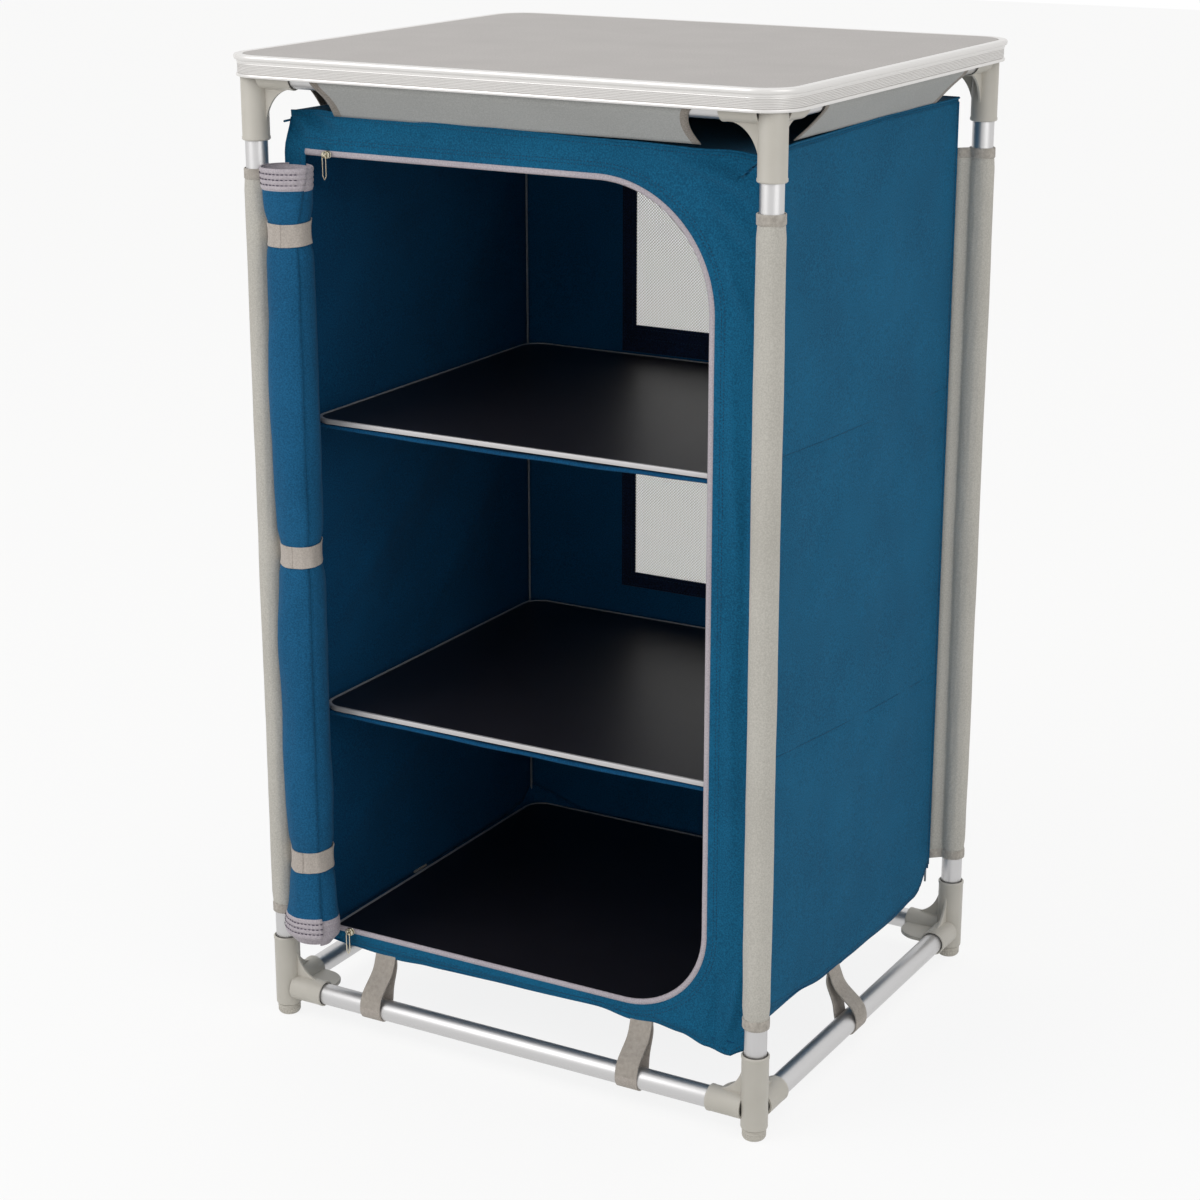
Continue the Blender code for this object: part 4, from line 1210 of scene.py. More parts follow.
@dataclass
class DoorOutline:
    """Edge of the door opening as (x, z) points with outward normals."""

    left: float = -0.232
    right: float = 0.2105
    low: float = 0.0985
    high: float = 0.9095
    top_r: float = 0.120
    base_r: float = 0.090
    left_r: float = 0.004

    def points(self, grow: float = 0.0, step: float = 0.005,
            left_side: bool = True) -> list[tuple[float, float, float, float]]:
        """Walk clockwise as seen from the front, from the top left.

        Args:
            grow: Distance outwards from the edge.
            step: Largest step on straight runs.
            left_side: Whether the left side is walked too.

        Returns:
            Rows of x, z and the normal's x and z.
        """
        walk: list[tuple[float, float, float, float]] = []

        def turn(cx: float, cz: float, radius: float, start: float, steps: int) -> None:
            """Walk a quarter circle clockwise."""
            for i in range(steps + 1):
                a = radians(start - 90 * i / steps)
                walk.append((cx + (radius + grow) * cos(a), cz + (radius + grow) * sin(a),
                    cos(a), sin(a)))

        def run(x0: float, z0: float, x1: float, z1: float, nx: float, nz: float) -> None:
            """Walk a straight side, without its ends."""
            for share in spread(0, 1, step / hypot(x1 - x0, z1 - z0))[1:-1]:
                walk.append((x0 + (x1 - x0) * share + nx * grow,
                    z0 + (z1 - z0) * share + nz * grow, nx, nz))

        left = self.left + (self.left_r if left_side else 0.0)
        walk.append((left, self.high + grow, 0.0, 1.0))
        run(left, self.high, self.right - self.top_r, self.high, 0, 1)
        turn(self.right - self.top_r, self.high - self.top_r, self.top_r, 90, 84)
        run(self.right, self.high - self.top_r, self.right, self.low + self.base_r, 1, 0)
        turn(self.right - self.base_r, self.low + self.base_r, self.base_r, 0, 56)
        run(self.right - self.base_r, self.low, left, self.low, 0, -1)
        walk.append((left, self.low - grow, 0.0, -1.0))
        if left_side:
            turn(left, self.low + self.left_r, self.left_r, -90, 16)
            run(self.left, self.low + self.left_r, self.left, self.high - self.left_r, -1, 0)
            turn(left, self.high - self.left_r, self.left_r, 180, 16)
            walk.pop()
        return walk


DOOR = DoorOutline()


@dataclass
class FrontWall:
    """Front of the cabinet: a cloth frame round the door opening."""

    across: int = 22
    folds: tuple[Fold, ...] = (Fold((-0.253, 0.944), (-0.214, 0.917), 0.0050, 0.0042),
        Fold((-0.254, 0.928), (-0.228, 0.912), 0.0035, -0.0034),
        Fold((-0.240, 0.946), (-0.196, 0.926), 0.0040, -0.0026),
        Fold((-0.228, 0.944), (-0.160, 0.930), 0.0050, 0.0024),
        Fold((-0.250, 0.905), (-0.240, 0.780), 0.0040, 0.0018),
        Fold((-0.160, 0.938), (-0.090, 0.926), 0.0050, 0.0016),
        Fold((0.150, 0.936), (0.250, 0.903), 0.0050, 0.0036),
        Fold((0.190, 0.936), (0.252, 0.915), 0.0034, -0.0034),
        Fold((0.196, 0.914), (0.252, 0.888), 0.0045, -0.0034),
        Fold((0.200, 0.900), (0.250, 0.866), 0.0050, 0.0036),
        Fold((0.212, 0.872), (0.252, 0.842), 0.0045, -0.0024),
        Fold((0.218, 0.850), (0.246, 0.790), 0.0055, 0.0024),
        Fold((0.226, 0.760), (0.238, 0.560), 0.0060, 0.0020),
        Fold((0.246, 0.700), (0.244, 0.420), 0.0045, -0.0018),
        Fold((0.230, 0.500), (0.238, 0.240), 0.0070, 0.0018),
        Fold((0.246, 0.112), (0.234, 0.072), 0.0026, -0.0034),
        Fold((0.250, 0.170), (0.238, 0.082), 0.0055, 0.0036),
        Fold((0.226, 0.150), (0.218, 0.074), 0.0050, -0.0022),
        Fold((0.150, 0.092), (0.225, 0.086), 0.0060, 0.0026),
        Fold((-0.100, 0.929), (0.120, 0.925), 0.0070, 0.0016),
        Fold((-0.180, 0.090), (0.060, 0.093), 0.0060, 0.0016),)

    def outward(self, x: float, z: float, share: float) -> float:
        """How far the cloth stands out at a point.

        Args:
            x: Place across.
            z: Height.
            share: 0 at the door's edge, 1 at the wall's rim.

        Returns:
            Displacement towards the viewer.
        """
        loose = min(1.0, 0.1 + 1.8 * share)
        soft = 0.0007 * ripple(Vector((x, 0.3, z)), 0.055) + \
            0.0003 * ripple(Vector((x, 0.9, z)), 0.018)
        return loose * (folded(self.folds, x, z) + soft) - corner_lean(x, z)

    def rim_point(self, x: float, z: float, nx: float, nz: float) -> tuple[float, float]:
        """Where a ray from the door's edge meets the wall's rim.

        Args:
            x: Start across.
            z: Start height.
            nx: Ray's x part.
            nz: Ray's z part.

        Returns:
            The rim's x and z.
        """
        reach = []
        if abs(nx) > 1e-6:
            reach.append(((HALF_W if nx > 0 else -HALF_W) - x) / nx)
        if abs(nz) > 1e-6:
            reach.append(((CAB_TOP_Z if nz > 0 else CAB_LOW.z) - z) / nz)
        far = min(reach)
        rim_x, rim_z = x + nx * far, z + nz * far
        if rim_z > CAB_TOP_Z - 1e-5:
            rim_z = follow(TOP_EDGE, rim_x)
        elif rim_z < CAB_LOW.z + 1e-5:
            rim_z = follow(FRONT_HEM, rim_x)
        return rim_x, rim_z

    def rays(self) -> list[tuple[float, float, float, float]]:
        """Door edge points, with rays added that meet the wall's four corners.

        Returns:
            Rows of x, z and the ray's x and z.
        """
        rays = DOOR.points()
        centres = ((DOOR.right - DOOR.top_r, DOOR.high - DOOR.top_r, DOOR.top_r, 1, 1),
            (DOOR.right - DOOR.base_r, DOOR.low + DOOR.base_r, DOOR.base_r, 1, -1),
            (DOOR.left + DOOR.left_r, DOOR.low + DOOR.left_r, DOOR.left_r, -1, -1),
            (DOOR.left + DOOR.left_r, DOOR.high - DOOR.left_r, DOOR.left_r, -1, 1))
        for cx, cz, radius, sx, sz in centres:
            corner = Vector((sx * HALF_W - cx,
                (CAB_TOP_Z if sz > 0 else CAB_LOW.z) - cz)).normalized()
            best = max(range(len(rays)), key=lambda i: Vector(rays[i][2:]).dot(corner)
                - 100 * (hypot(rays[i][0] - cx, rays[i][1] - cz) > radius + 1e-4))
            rays[best] = (cx + corner.x * radius, cz + corner.y * radius, *corner)
        return rays

    def build(self) -> None:
        """Make the wall, its seams and its stitches."""
        rays = self.rays()
        rows = []
        for i in range(self.across + 1):
            share = i / self.across
            row = []
            for x, z, nx, nz in rays:
                rim_x, rim_z = self.rim_point(x, z, nx, nz)
                px, pz = x + (rim_x - x) * share, z + (rim_z - z) * share
                row.append(Vector((px, FRONT_Y - self.outward(px, pz, share), pz)))
            rows.append(row)
        wall = Skin().grid(rows, closed=True).object("front_wall", [BLUE, NAVY])
        thicken(wall, CLOTH_T, 1)
        place_piece(wall, STATIC, ["cabinet_front"])
        self.stitches()

    def stitches(self) -> None:
        """Sew the double row round the zip and the rows along the wall's rim."""
        rows = []
        for grow in (0.0075, 0.0110):
            row = []
            for x, z, nx, nz in DOOR.points(0.0, 0.005, left_side=False):
                rim_x, rim_z = self.rim_point(x, z, nx, nz)
                share = grow / hypot(rim_x - x, rim_z - z)
                row += self.on_wall([(x + nx * grow, z + nz * grow)], share)
            rows.append(row)
        for edge, inset in ((FRONT_HEM, 0.0055), (TOP_EDGE, -0.0045)):
            rows.append(self.on_wall([(x, follow(edge, x) + inset) for x in
                spread(-HALF_W + 0.004, HALF_W - 0.004, 0.005)], 0.9))
        rows.append(self.on_wall([(DOOR.left - 0.006, z)
            for z in spread(0.10, 0.91, 0.008)], 0.27))
        sewn = BEADS.run("front_stitches", rows, THREAD_WITH_PAINTED_SHADE, 0.0034, (0.00115, 0.00032, 0.0003))
        place_piece(sewn, STATIC)

    def on_wall(self, points: Iterable[Sequence[float]], share: float) -> list[Vector]:
        """Lay points on the wall's face.

        Args:
            points: Pairs of x and z.
            share: 0 at the door's edge, 1 at the wall's rim.

        Returns:
            The laid points.
        """
        return [Vector((x, FRONT_Y - 0.0001 - self.outward(x, z, share), z)) for x, z in points]


# The left wall hangs in long slanting folds, which show inside the cabinet.
LEFT_FOLDS = (Fold((0.200, 0.620), (-0.120, 0.370), 0.022, 0.0036),
    Fold((0.140, 0.628), (-0.190, 0.400), 0.014, -0.0032),
    Fold((0.205, 0.560), (-0.020, 0.350), 0.018, -0.0032),
    Fold((0.060, 0.620), (-0.205, 0.470), 0.012, 0.0026),
    Fold((0.210, 0.930), (-0.150, 0.670), 0.040, 0.0034),
    Fold((0.200, 0.840), (0.020, 0.660), 0.018, -0.0026),
    Fold((0.210, 0.310), (-0.130, 0.110), 0.030, 0.0034),
    Fold((0.160, 0.320), (-0.190, 0.160), 0.016, -0.0026),
    Fold((-0.218, 0.928), (-0.150, 0.865), 0.012, 0.0024),)


@dataclass
class SideWall:
    """Left or right wall, sewn in at the height of each shelf."""

    side: str
    sign: int
    hem: tuple[tuple[float, float], ...] = SIDE_HEM
    folds: tuple[Fold, ...] = (Fold((-0.218, 0.928), (-0.150, 0.865), 0.012, 0.0024),
        Fold((-0.215, 0.905), (-0.176, 0.845), 0.007, -0.0020),
        Fold((-0.219, 0.940), (-0.120, 0.915), 0.010, 0.0018),
        Fold((-0.219, 0.330), (0.219, 0.312), 0.030, 0.0014),
        Fold((-0.219, 0.820), (0.219, 0.800), 0.060, 0.0016),
        Fold((-0.219, 0.500), (0.219, 0.480), 0.060, 0.0014),
        Fold((0.120, 0.140), (0.215, 0.108), 0.012, 0.0026),
        Fold((-0.215, 0.130), (-0.150, 0.098), 0.009, 0.0026),)

    def crease(self, y: float, index: int) -> float:
        """Height of the sewn-in line of one shelf.

        Args:
            y: Place along the wall.
            index: 0 for the upper shelf, 1 for the middle one.

        Returns:
            The height.
        """
        front, rear = ((0.657, 0.643), (0.366, 0.330))[index]
        share = (y - FRONT_Y) / (BACK_Y - FRONT_Y)
        return front + (rear - front) * share - 0.003 * sin(pi * share)

    def outward(self, y: float, z: float) -> float:
        """How far the cloth stands out at a point.

        Args:
            y: Place along the wall.
            z: Height.

        Returns:
            Displacement away from the cabinet.
        """
        out = folded(self.folds, y, z) + 0.0009 * ripple(Vector((self.sign, y, z)), 0.07)
        out += 0.0003 * ripple(Vector((self.sign * 3, y, z)), 0.02)
        for index in (0, 1):
            out -= 0.0016 * exp(-(((z - self.crease(y, index)) / 0.0026) ** 2))
        edge = min(1.0, (y - FRONT_Y) / 0.02, (BACK_Y - y) / 0.02)
        return out * max(0.0, edge)

    def point(self, y: float, z: float, lift: float = 0.0) -> Vector:
        """Point on the wall's outer face.

        Args:
            y: Place along the wall.
            z: Height.
            lift: Distance off the cloth.

        Returns:
            The point.
        """
        lean = corner_lean(HALF_W, z) * max(0.0, 1 - (y - FRONT_Y) / 0.030)
        return Vector((self.sign * (HALF_W + self.outward(y, z) + lift), y + lean, z))

    def build(self) -> None:
        """Make the wall and its stitches."""
        places = spread(FRONT_Y, BACK_Y, 0.0062)
        if self.sign < 0:
            places.reverse()
        rows = []
        for i in range(121):
            share = i / 120
            row = []
            for y in places:
                low, high = follow(self.hem, y), follow(SIDE_TOP_EDGE, y)
                row.append(self.point(y, low + (high - low) * share))
            rows.append(row)
        wall = Skin().grid(rows).object(f"{self.side}_wall", [BLUE, NAVY])
        thicken(wall, CLOTH_T, 1)
        place_piece(wall, STATIC, ["cabinet_" + self.side])
        lines = [[self.point(y, self.crease(y, index) + shift, 0.0002) for y in places]
            for index in (0, 1) for shift in (0.0022,)]
        lines.append([self.point(y, follow(self.hem, y) + 0.0055, 0.0001) for y in places])
        lines.append([self.point(y, follow(SIDE_TOP_EDGE, y) - 0.004, 0.0001) for y in places])
        sewn = BEADS.run(f"{self.side}_stitches", lines, THREAD_WITH_PAINTED_SHADE, 0.0034,
            (0.00115, 0.00032, 0.0003), out=(self.sign, 0, 0))
        place_piece(sewn, STATIC)


@dataclass
class BackWall:
    """Back wall with two window openings."""

    windows: tuple[tuple[float, float], ...]
    half: float

    def outward(self, x: float, z: float) -> float:
        """How far the cloth stands out behind the cabinet.

        Args:
            x: Place across.
            z: Height.

        Returns:
            Displacement to the rear.
        """
        return 0.0007 * ripple(Vector((x, 5.0, z)), 0.08) + \
            0.0003 * ripple(Vector((x, 7.0, z)), 0.02)

    def build(self) -> None:
        """Make the wall."""
        columns = spread(HALF_W, self.half, 0.0075) + spread(self.half, -self.half, 0.0075)[1:]
        columns += spread(-self.half, -HALF_W, 0.0075)[1:]
        cuts = [z for window in reversed(self.windows) for z in window]
        bands = [CAB_LOW.z, *cuts, CAB_TOP_Z]
        levels = [bands[0]]
        for low, high in zip(bands, bands[1:]):
            levels += spread(low, high, 0.0075)[1:]

        def height(x: float, z: float) -> float:
            """Stretch the lowest band of the wall down to its hem."""
            low = follow(BACK_HEM, x)
            if z < cuts[0]:
                return low + (z - bands[0]) * (cuts[0] - low) / (cuts[0] - bands[0])
            return z

        rows = [[Vector((x, BACK_Y + self.outward(x, z), height(x, z))) for x in columns]
            for z in levels]

        def cut(i: int, j: int) -> bool:
            """Say whether a face lies in a window."""
            z = (levels[i] + levels[i + 1]) / 2
            x = (columns[j] + columns[j + 1]) / 2
            return abs(x) < self.half and any(low < z < high for low, high in self.windows)

        wall = Skin().grid(rows, skip=cut).object("back_wall", [BLUE, NAVY])
        thicken(wall, CLOTH_T, 1)
        place_piece(wall, STATIC, ["cabinet_back"])


@dataclass
class Netting:
    """Window net of crossing knitted strands, made along given lines by Geometry Nodes."""

    pitch: float = 0.0024
    strand: float = 0.00040
    tree: bpy.types.NodeTree = field(init=False)

    def __post_init__(self) -> None:
        """Build the tree with its named inputs."""
        tree = bpy.data.node_groups.new("netting", "GeometryNodeTree")
        tree.is_modifier = True
        face = tree.interface
        face.new_socket("Geometry", in_out="INPUT", socket_type="NodeSocketGeometry")
        face.new_socket("Strand", in_out="INPUT", socket_type="NodeSocketFloat")
        face.new_socket("Seed", in_out="INPUT", socket_type="NodeSocketInt")
        face.new_socket("Finish", in_out="INPUT", socket_type="NodeSocketMaterial")
        face.new_socket("Geometry", in_out="OUTPUT", socket_type="NodeSocketGeometry")
        given = add_node(tree, "NodeGroupInput").outputs
        curve = add_node(tree, "GeometryNodeMeshToCurve", {"Mesh": given["Geometry"]})
        section = add_node(tree, "GeometryNodeCurvePrimitiveCircle",
            {"Resolution": 5, "Radius": given["Strand"]})
        chance = add_node(tree, "FunctionNodeRandomValue", {"Seed": given["Seed"]},
            data_type="FLOAT")
        chance.inputs[2].default_value = 0.85
        chance.inputs[3].default_value = 1.15
        uneven = add_node(tree, "GeometryNodeSetCurveRadius", {"Curve": curve.outputs[0],
            "Radius": chance.outputs[1]})
        strands = add_node(tree, "GeometryNodeCurveToMesh",
            {"Curve": uneven.outputs[0], "Profile Curve": section.outputs[0]})
        real = add_node(tree, "GeometryNodeRealizeInstances", {0: strands.outputs[0]})
        done = add_node(tree, "GeometryNodeSetMaterial", {"Geometry": real.outputs[0],
            "Material": given["Finish"]})
        add_node(tree, "NodeGroupOutput", {0: done.outputs[0]})
        self.tree = tree

    def lines(self, half: float, low: float, high: float) -> list[tuple[Vector, Vector]]:
        """Slanting strands that fill a rectangle both ways.

        Args:
            half: Half its width.
            low: Its lower edge.
            high: Its upper edge.

        Returns:
            Ends of each strand.
        """
        ends = []
        height = high - low
        step = self.pitch * 2 ** 0.5
        for slant in (1, -1):
            for start in spread(-half - height, half, step)[1:-1]:
                first, last = max(0.0, -half - start), min(height, half - start)
                if last - first < step / 2:
                    continue
                layer = 0.00035 * slant
                ends.append(tuple(Vector((slant * (start + at), layer, low + at))
                    for at in (first, last)))
        return ends

    def build(self, name: str, half: float, low: float, high: float, y: float) -> None:
        """Make one net.

        Args:
            name: CAD node that it stands for.
            half: Half the window's width.
            low: Its lower edge.
            high: Its upper edge.
            y: The net's plane.
        """
        lines = self.lines(half, low, high)
        mesh = bpy.data.meshes.new(name)
        points = [point + Vector((0, y, 0)) for line in lines for point in line]
        mesh.from_pydata(points, [(2 * i, 2 * i + 1) for i in range(len(lines))], [])
        obj = bpy.data.objects.new(name + "_strands", mesh)
        bpy.context.scene.collection.objects.link(obj)
        modifier = obj.modifiers.new("net", "NODES")
        modifier.node_group = self.tree
        values = {"Strand": self.strand, "Seed": 3, "Finish": material(NET)}
        for item in self.tree.interface.items_tree:
            if item.in_out == "INPUT" and item.name in values:
                modifier[item.identifier] = values[item.name]
        settle(obj)
        place_piece(obj, STATIC, [name])


@dataclass
class CabinetShell:
    """The whole soft cabinet: walls, roof, floor, windows and corner piping."""

    border: float = 0.016
    upper_sill: float = 0.029

    def build(self) -> None:
        """Make every piece of the shell."""
        FrontWall().build()
        SideWall("left", -1, LEFT_HEM, LEFT_FOLDS).build()
        SideWall("right", 1).build()
        windows = [tuple(corner.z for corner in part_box("window_net_" + name))
            for name in ("upper", "lower")]
        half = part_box("window_net_upper")[1].x
        BackWall(tuple(windows), half).build()
        netting = Netting()
        y = middle("window_net_upper").y
        for name, (low, high), sill in zip(("upper", "lower"), windows,
                (self.upper_sill, self.border)):
            netting.build("window_net_" + name, half, low, high, y)
            self.window_border(name, half, low, high, sill, y)
        self.level("roof", 0.0, BLUE, NAVY)
        self.level("floor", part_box("cabinet_floor")[1].z, NAVY, BLUE)
        self.piping()

    def window_border(self, name: str, half: float, low: float, high: float, sill: float,
            y: float) -> None:
        """Add the dark binding round a window.

        Args:
            name: Which window.
            half: Half its width.
            low: Its lower edge.
            high: Its upper edge.
            sill: Width of the lower binding.
            y: The wall's plane.
        """
        outer = [(-half - self.border, low - sill), (half + self.border, low - sill),
            (half + self.border, high + self.border), (-half - self.border, high + self.border)]
        inner = [(-half + 0.001, low + 0.001), (half - 0.001, low + 0.001),
            (half - 0.001, high - 0.001), (-half + 0.001, high - 0.001)]
        place = Matrix.Translation((0, y, 0)) @ Matrix.Rotation(pi / 2, 4, "X")
        band = frame_band(Skin(), outer, inner, 0.0030, place, 0.0005)
        piece = band.object(f"window_border_{name}", [NAVY_BINDING], sharp=0.9, outward=True)
        place_piece(piece, STATIC)
        lines = []
        for grow in (0.0030, self.border - 0.0025):
            loop = [(-half - grow, low - grow), (half + grow, low - grow),
                (half + grow, high + grow), (-half - grow, high + grow)]
            lines.append([Vector((x, y - 0.0016, z)) for x, z in loop])
        sewn = BEADS.run(f"window_stitches_{name}", lines, THREAD_WITH_PAINTED_SHADE, 0.0034,
            (0.00115, 0.0003, 0.0003), closed=True)
        place_piece(sewn, STATIC)

    def level(self, name: str, z: float, upper: Finish, lower: Finish) -> None:
        """Add the roof or the floor.

        Args:
            name: Which one.
            z: Height of the floor; the roof follows the walls' edges.
            upper: Finish of its upper face.
            lower: Finish of its lower face.
        """
        rows = []
        for y in edged(BACK_Y):
            row = []
            for x in edged(HALF_W):
                inset = min(HALF_W - abs(x), BACK_Y - abs(y))
                lean = 0.0
                if name == "roof":
                    front, side = follow(TOP_EDGE, x), follow(SIDE_TOP_EDGE, y)
                    share = (y - FRONT_Y) / (BACK_Y - FRONT_Y)
                    height = front * (1 - share) + side * share
                    height -= 0.004 * min(1.0, inset / 0.09)
                    height += 0.0012 * ripple(Vector((x, y, 2.0)), 0.06)
                    lean = corner_lean(x, height) * max(0.0, 1 - (y - FRONT_Y) / 0.030)
                else:
                    near = ((follow(FRONT_HEM, x), y - FRONT_Y), (follow(BACK_HEM, x), BACK_Y - y),
                        (follow(LEFT_HEM, y), HALF_W + x), (follow(SIDE_HEM, y), HALF_W - x))
                    height = z + max(max(0.0, hem + 0.002 - z) * max(0.0, 1 - away / 0.009)
                        for hem, away in near)
                row.append(Vector((x, y + lean, height)))
            rows.append(row)
        sheet = Skin().grid(rows).object(f"cabinet_{name}_cloth", [upper, lower])
        thicken(sheet, CLOTH_T, 1)
        place_piece(sheet, STATIC, ["cabinet_" + name])

    def piping(self) -> None:
        """Add the piping in the upright inner corners and round the top edge."""
        skin = Skin()
        for sign in (-1, 1):
            for y, inset in ((BACK_Y, -1), (FRONT_Y, 1)):
                path = [Vector((sign * (HALF_W - 0.0022), y + inset * 0.0022, z))
                    for z in spread(0.090, 0.936 if inset < 0 else 0.900, 0.02)]
                rope(skin, path, 0.0012, 8)
        piece = skin.object("corner_piping", [PIPING])
        place_piece(piece, STATIC)
        edge = Skin()
        top = [Vector((x, FRONT_Y - 0.0005 + corner_lean(x, follow(TOP_EDGE, x)),
            follow(TOP_EDGE, x))) for x in spread(-HALF_W, HALF_W, 0.008)]
        top += [Vector((HALF_W + 0.0005, y, follow(SIDE_TOP_EDGE, y)))
            for y in spread(FRONT_Y, BACK_Y, 0.008)]
        top += [Vector((x, BACK_Y + 0.0005, 0.942)) for x in spread(HALF_W, -HALF_W, 0.008)]
        top += [Vector((-HALF_W - 0.0005, y, follow(SIDE_TOP_EDGE, y)))
            for y in spread(BACK_Y, FRONT_Y, 0.008)]
        rope(edge, top, 0.0011, 8)
        for sign in (-1, 1):
            for y in (FRONT_Y, BACK_Y):
                path = [Vector((sign * HALF_W, y + corner_lean(HALF_W, z) * (y < 0), z))
                    for z in spread(0.110, 0.938, 0.008)]
                rope(edge, path, 0.0010, 8)
        seam = edge.object("cabinet_edge_seams", [BLUE])
        place_piece(seam, STATIC)


def edged(half: float) -> list[float]:
    """Places across a sheet, close together near its edges.

    Args:
        half: Half the sheet's size.

    Returns:
        Places from -half to half.
    """
    near = [0.0, 0.003, 0.006, 0.009]
    low = [away - half for away in near]
    return low + spread(low[-1], -low[-1], 0.012)[1:-1] + [half - away for away in reversed(near)]


def rope(skin: Skin, path: Sequence[Vector], radius: float, sides: int = 10,
        slot: int = 0) -> Skin:
    """Add a round cord along a path.

    Args:
        skin: Skin that gets the faces.
        path: Points of the path.
        radius: Cord radius.
        sides: Facets round.
        slot: Material slot.

    Returns:
        The skin.
    """
    rows = []
    side = None
    for i, point in enumerate(path):
        ahead = path[min(i + 1, len(path) - 1)] - path[max(i - 1, 0)]
        if ahead.length < 1e-9:
            continue
        ahead = ahead.normalized()
        if side is None:
            side = ahead.orthogonal().normalized()
        side = (side - ahead * side.dot(ahead)).normalized()
        other = ahead.cross(side)
        rows.append([point + (side * cos(tau * k / sides) + other * sin(tau * k / sides)) * radius
            for k in range(sides)])
    skin.grid(rows, closed=True, slot=slot)
    skin.cap(list(reversed(rows[0])), slot)
    return skin.cap(rows[-1], slot)


# ---------------------------------------------------------------- zip and door
@dataclass
class ZipRun:
    """Coil zip round three sides of the door opening."""

    def build(self) -> None:
        """Make the tape and the coil."""
        y = FRONT_Y + 0.0004
        rows = [[Vector((x, y + shift, z)) for x, z, _, _ in
            DOOR.points(grow, 0.006, left_side=False)]
            for grow, shift in ((0.0010, 0.0012), (0.0002, 0.0), (-0.0012, -0.0004),
            (-0.0036, -0.0002), (-0.0046, 0.0008))]
        tape = Skin().grid(rows).object("zip_tape_band", [TAPE])
        thicken(tape, 0.0007)
        place_piece(tape, STATIC, ["door_zip_tape"])
        path = [Vector((x, y - 0.0004, z)) for x, z, _, _ in
            DOOR.points(-0.0024, 0.005, left_side=False)]
        coil = BEADS.run("zip_coil", [path], COIL, 0.0015, (0.00050, 0.00125, 0.0007), uneven=0.03)
        place_piece(coil, STATIC)


@dataclass
class ZipSlider:
    """Nickel slider with its bridge, and the hanging loop pull."""

    name: str

    def build(self) -> None:
        """Make the slider and its pull."""
        node = "zip_slider_" + self.name
        low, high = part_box(node)
        x, _, z = (low + high) / 2
        back = high.y
        half_w, half_h = (high.x - low.x) / 2, (high.z - low.z) / 2
        upright = Matrix.Rotation(pi / 2, 4, "X")
        skin = Skin()
        shape = [(-half_w, 0), (-half_w * 0.6, -half_h * 0.8), (half_w * 0.4, -half_h),
            (half_w, -half_h * 0.55), (half_w, half_h * 0.55), (half_w * 0.4, half_h),
            (-half_w * 0.6, half_h * 0.8)]
        shape = eased(shape, 0.0018, 3)
        for y, thick in ((back - 0.0007, 0.0012), (back - 0.0035, 0.0012)):
            prism(skin, shape, thick, Matrix.Translation((x, y, z)) @ upright, 0.0004)
        post = arc((0, 0), 0.0020, 0, tau * 15 / 16, 15)
        prism(skin, post, 0.0036, Matrix.Translation((x, back - 0.0021, z)) @ upright, 0.0002)
        axis_y = middle("zip_pull_" + self.name).y
        ring = [Vector((x + 0.0009 * sin(a), axis_y + 0.0003 + 0.0026 * cos(a),
            z + 0.0024 * sin(a))) for a in (tau * i / 24 for i in range(25))]
        rope(skin, ring, 0.0006, 8)
        slider = skin.object(node + "_body", [NICKEL], sharp=0.6, outward=True)
        place_piece(slider, "slider_" + self.name, [node])
        self.pull(x, axis_y)

    def pull(self, x: float, y: float) -> None:
        """Make the loop pull, with its end a little pointed.

        Args:
            x: Place across.
            y: Its plane.
        """
        node = "zip_pull_" + self.name
        low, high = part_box(node)
        top, tip, half = high.z, low.z, (high.x - low.x) / 2
        outer = [(-half * 0.7, top), (-half, top - 0.002), (-half, tip + 0.004),
            (0.0, tip), (half, tip + 0.004), (half, top - 0.002), (half * 0.7, top)]
        inner = [(-half * 0.35, top - 0.0010), (-half + 0.0011, top - 0.0028),
            (-half + 0.0011, tip + 0.0048), (0.0, tip + 0.0019),
            (half - 0.0011, tip + 0.0048), (half - 0.0011, top - 0.0028),
            (half * 0.35, top - 0.0010)]
        outer, inner = eased(outer, 0.0010, 3), eased(inner, 0.0006, 3)
        place = Matrix.Translation((x, y, 0)) @ Matrix.Rotation(pi / 2, 4, "X")
        band = frame_band(Skin(), outer, inner, 0.0010, place, 0.0002)
        piece = band.object(node + "_loop", [NICKEL], sharp=0.8, outward=True)
        place_piece(piece, "pull_" + self.name, [node])


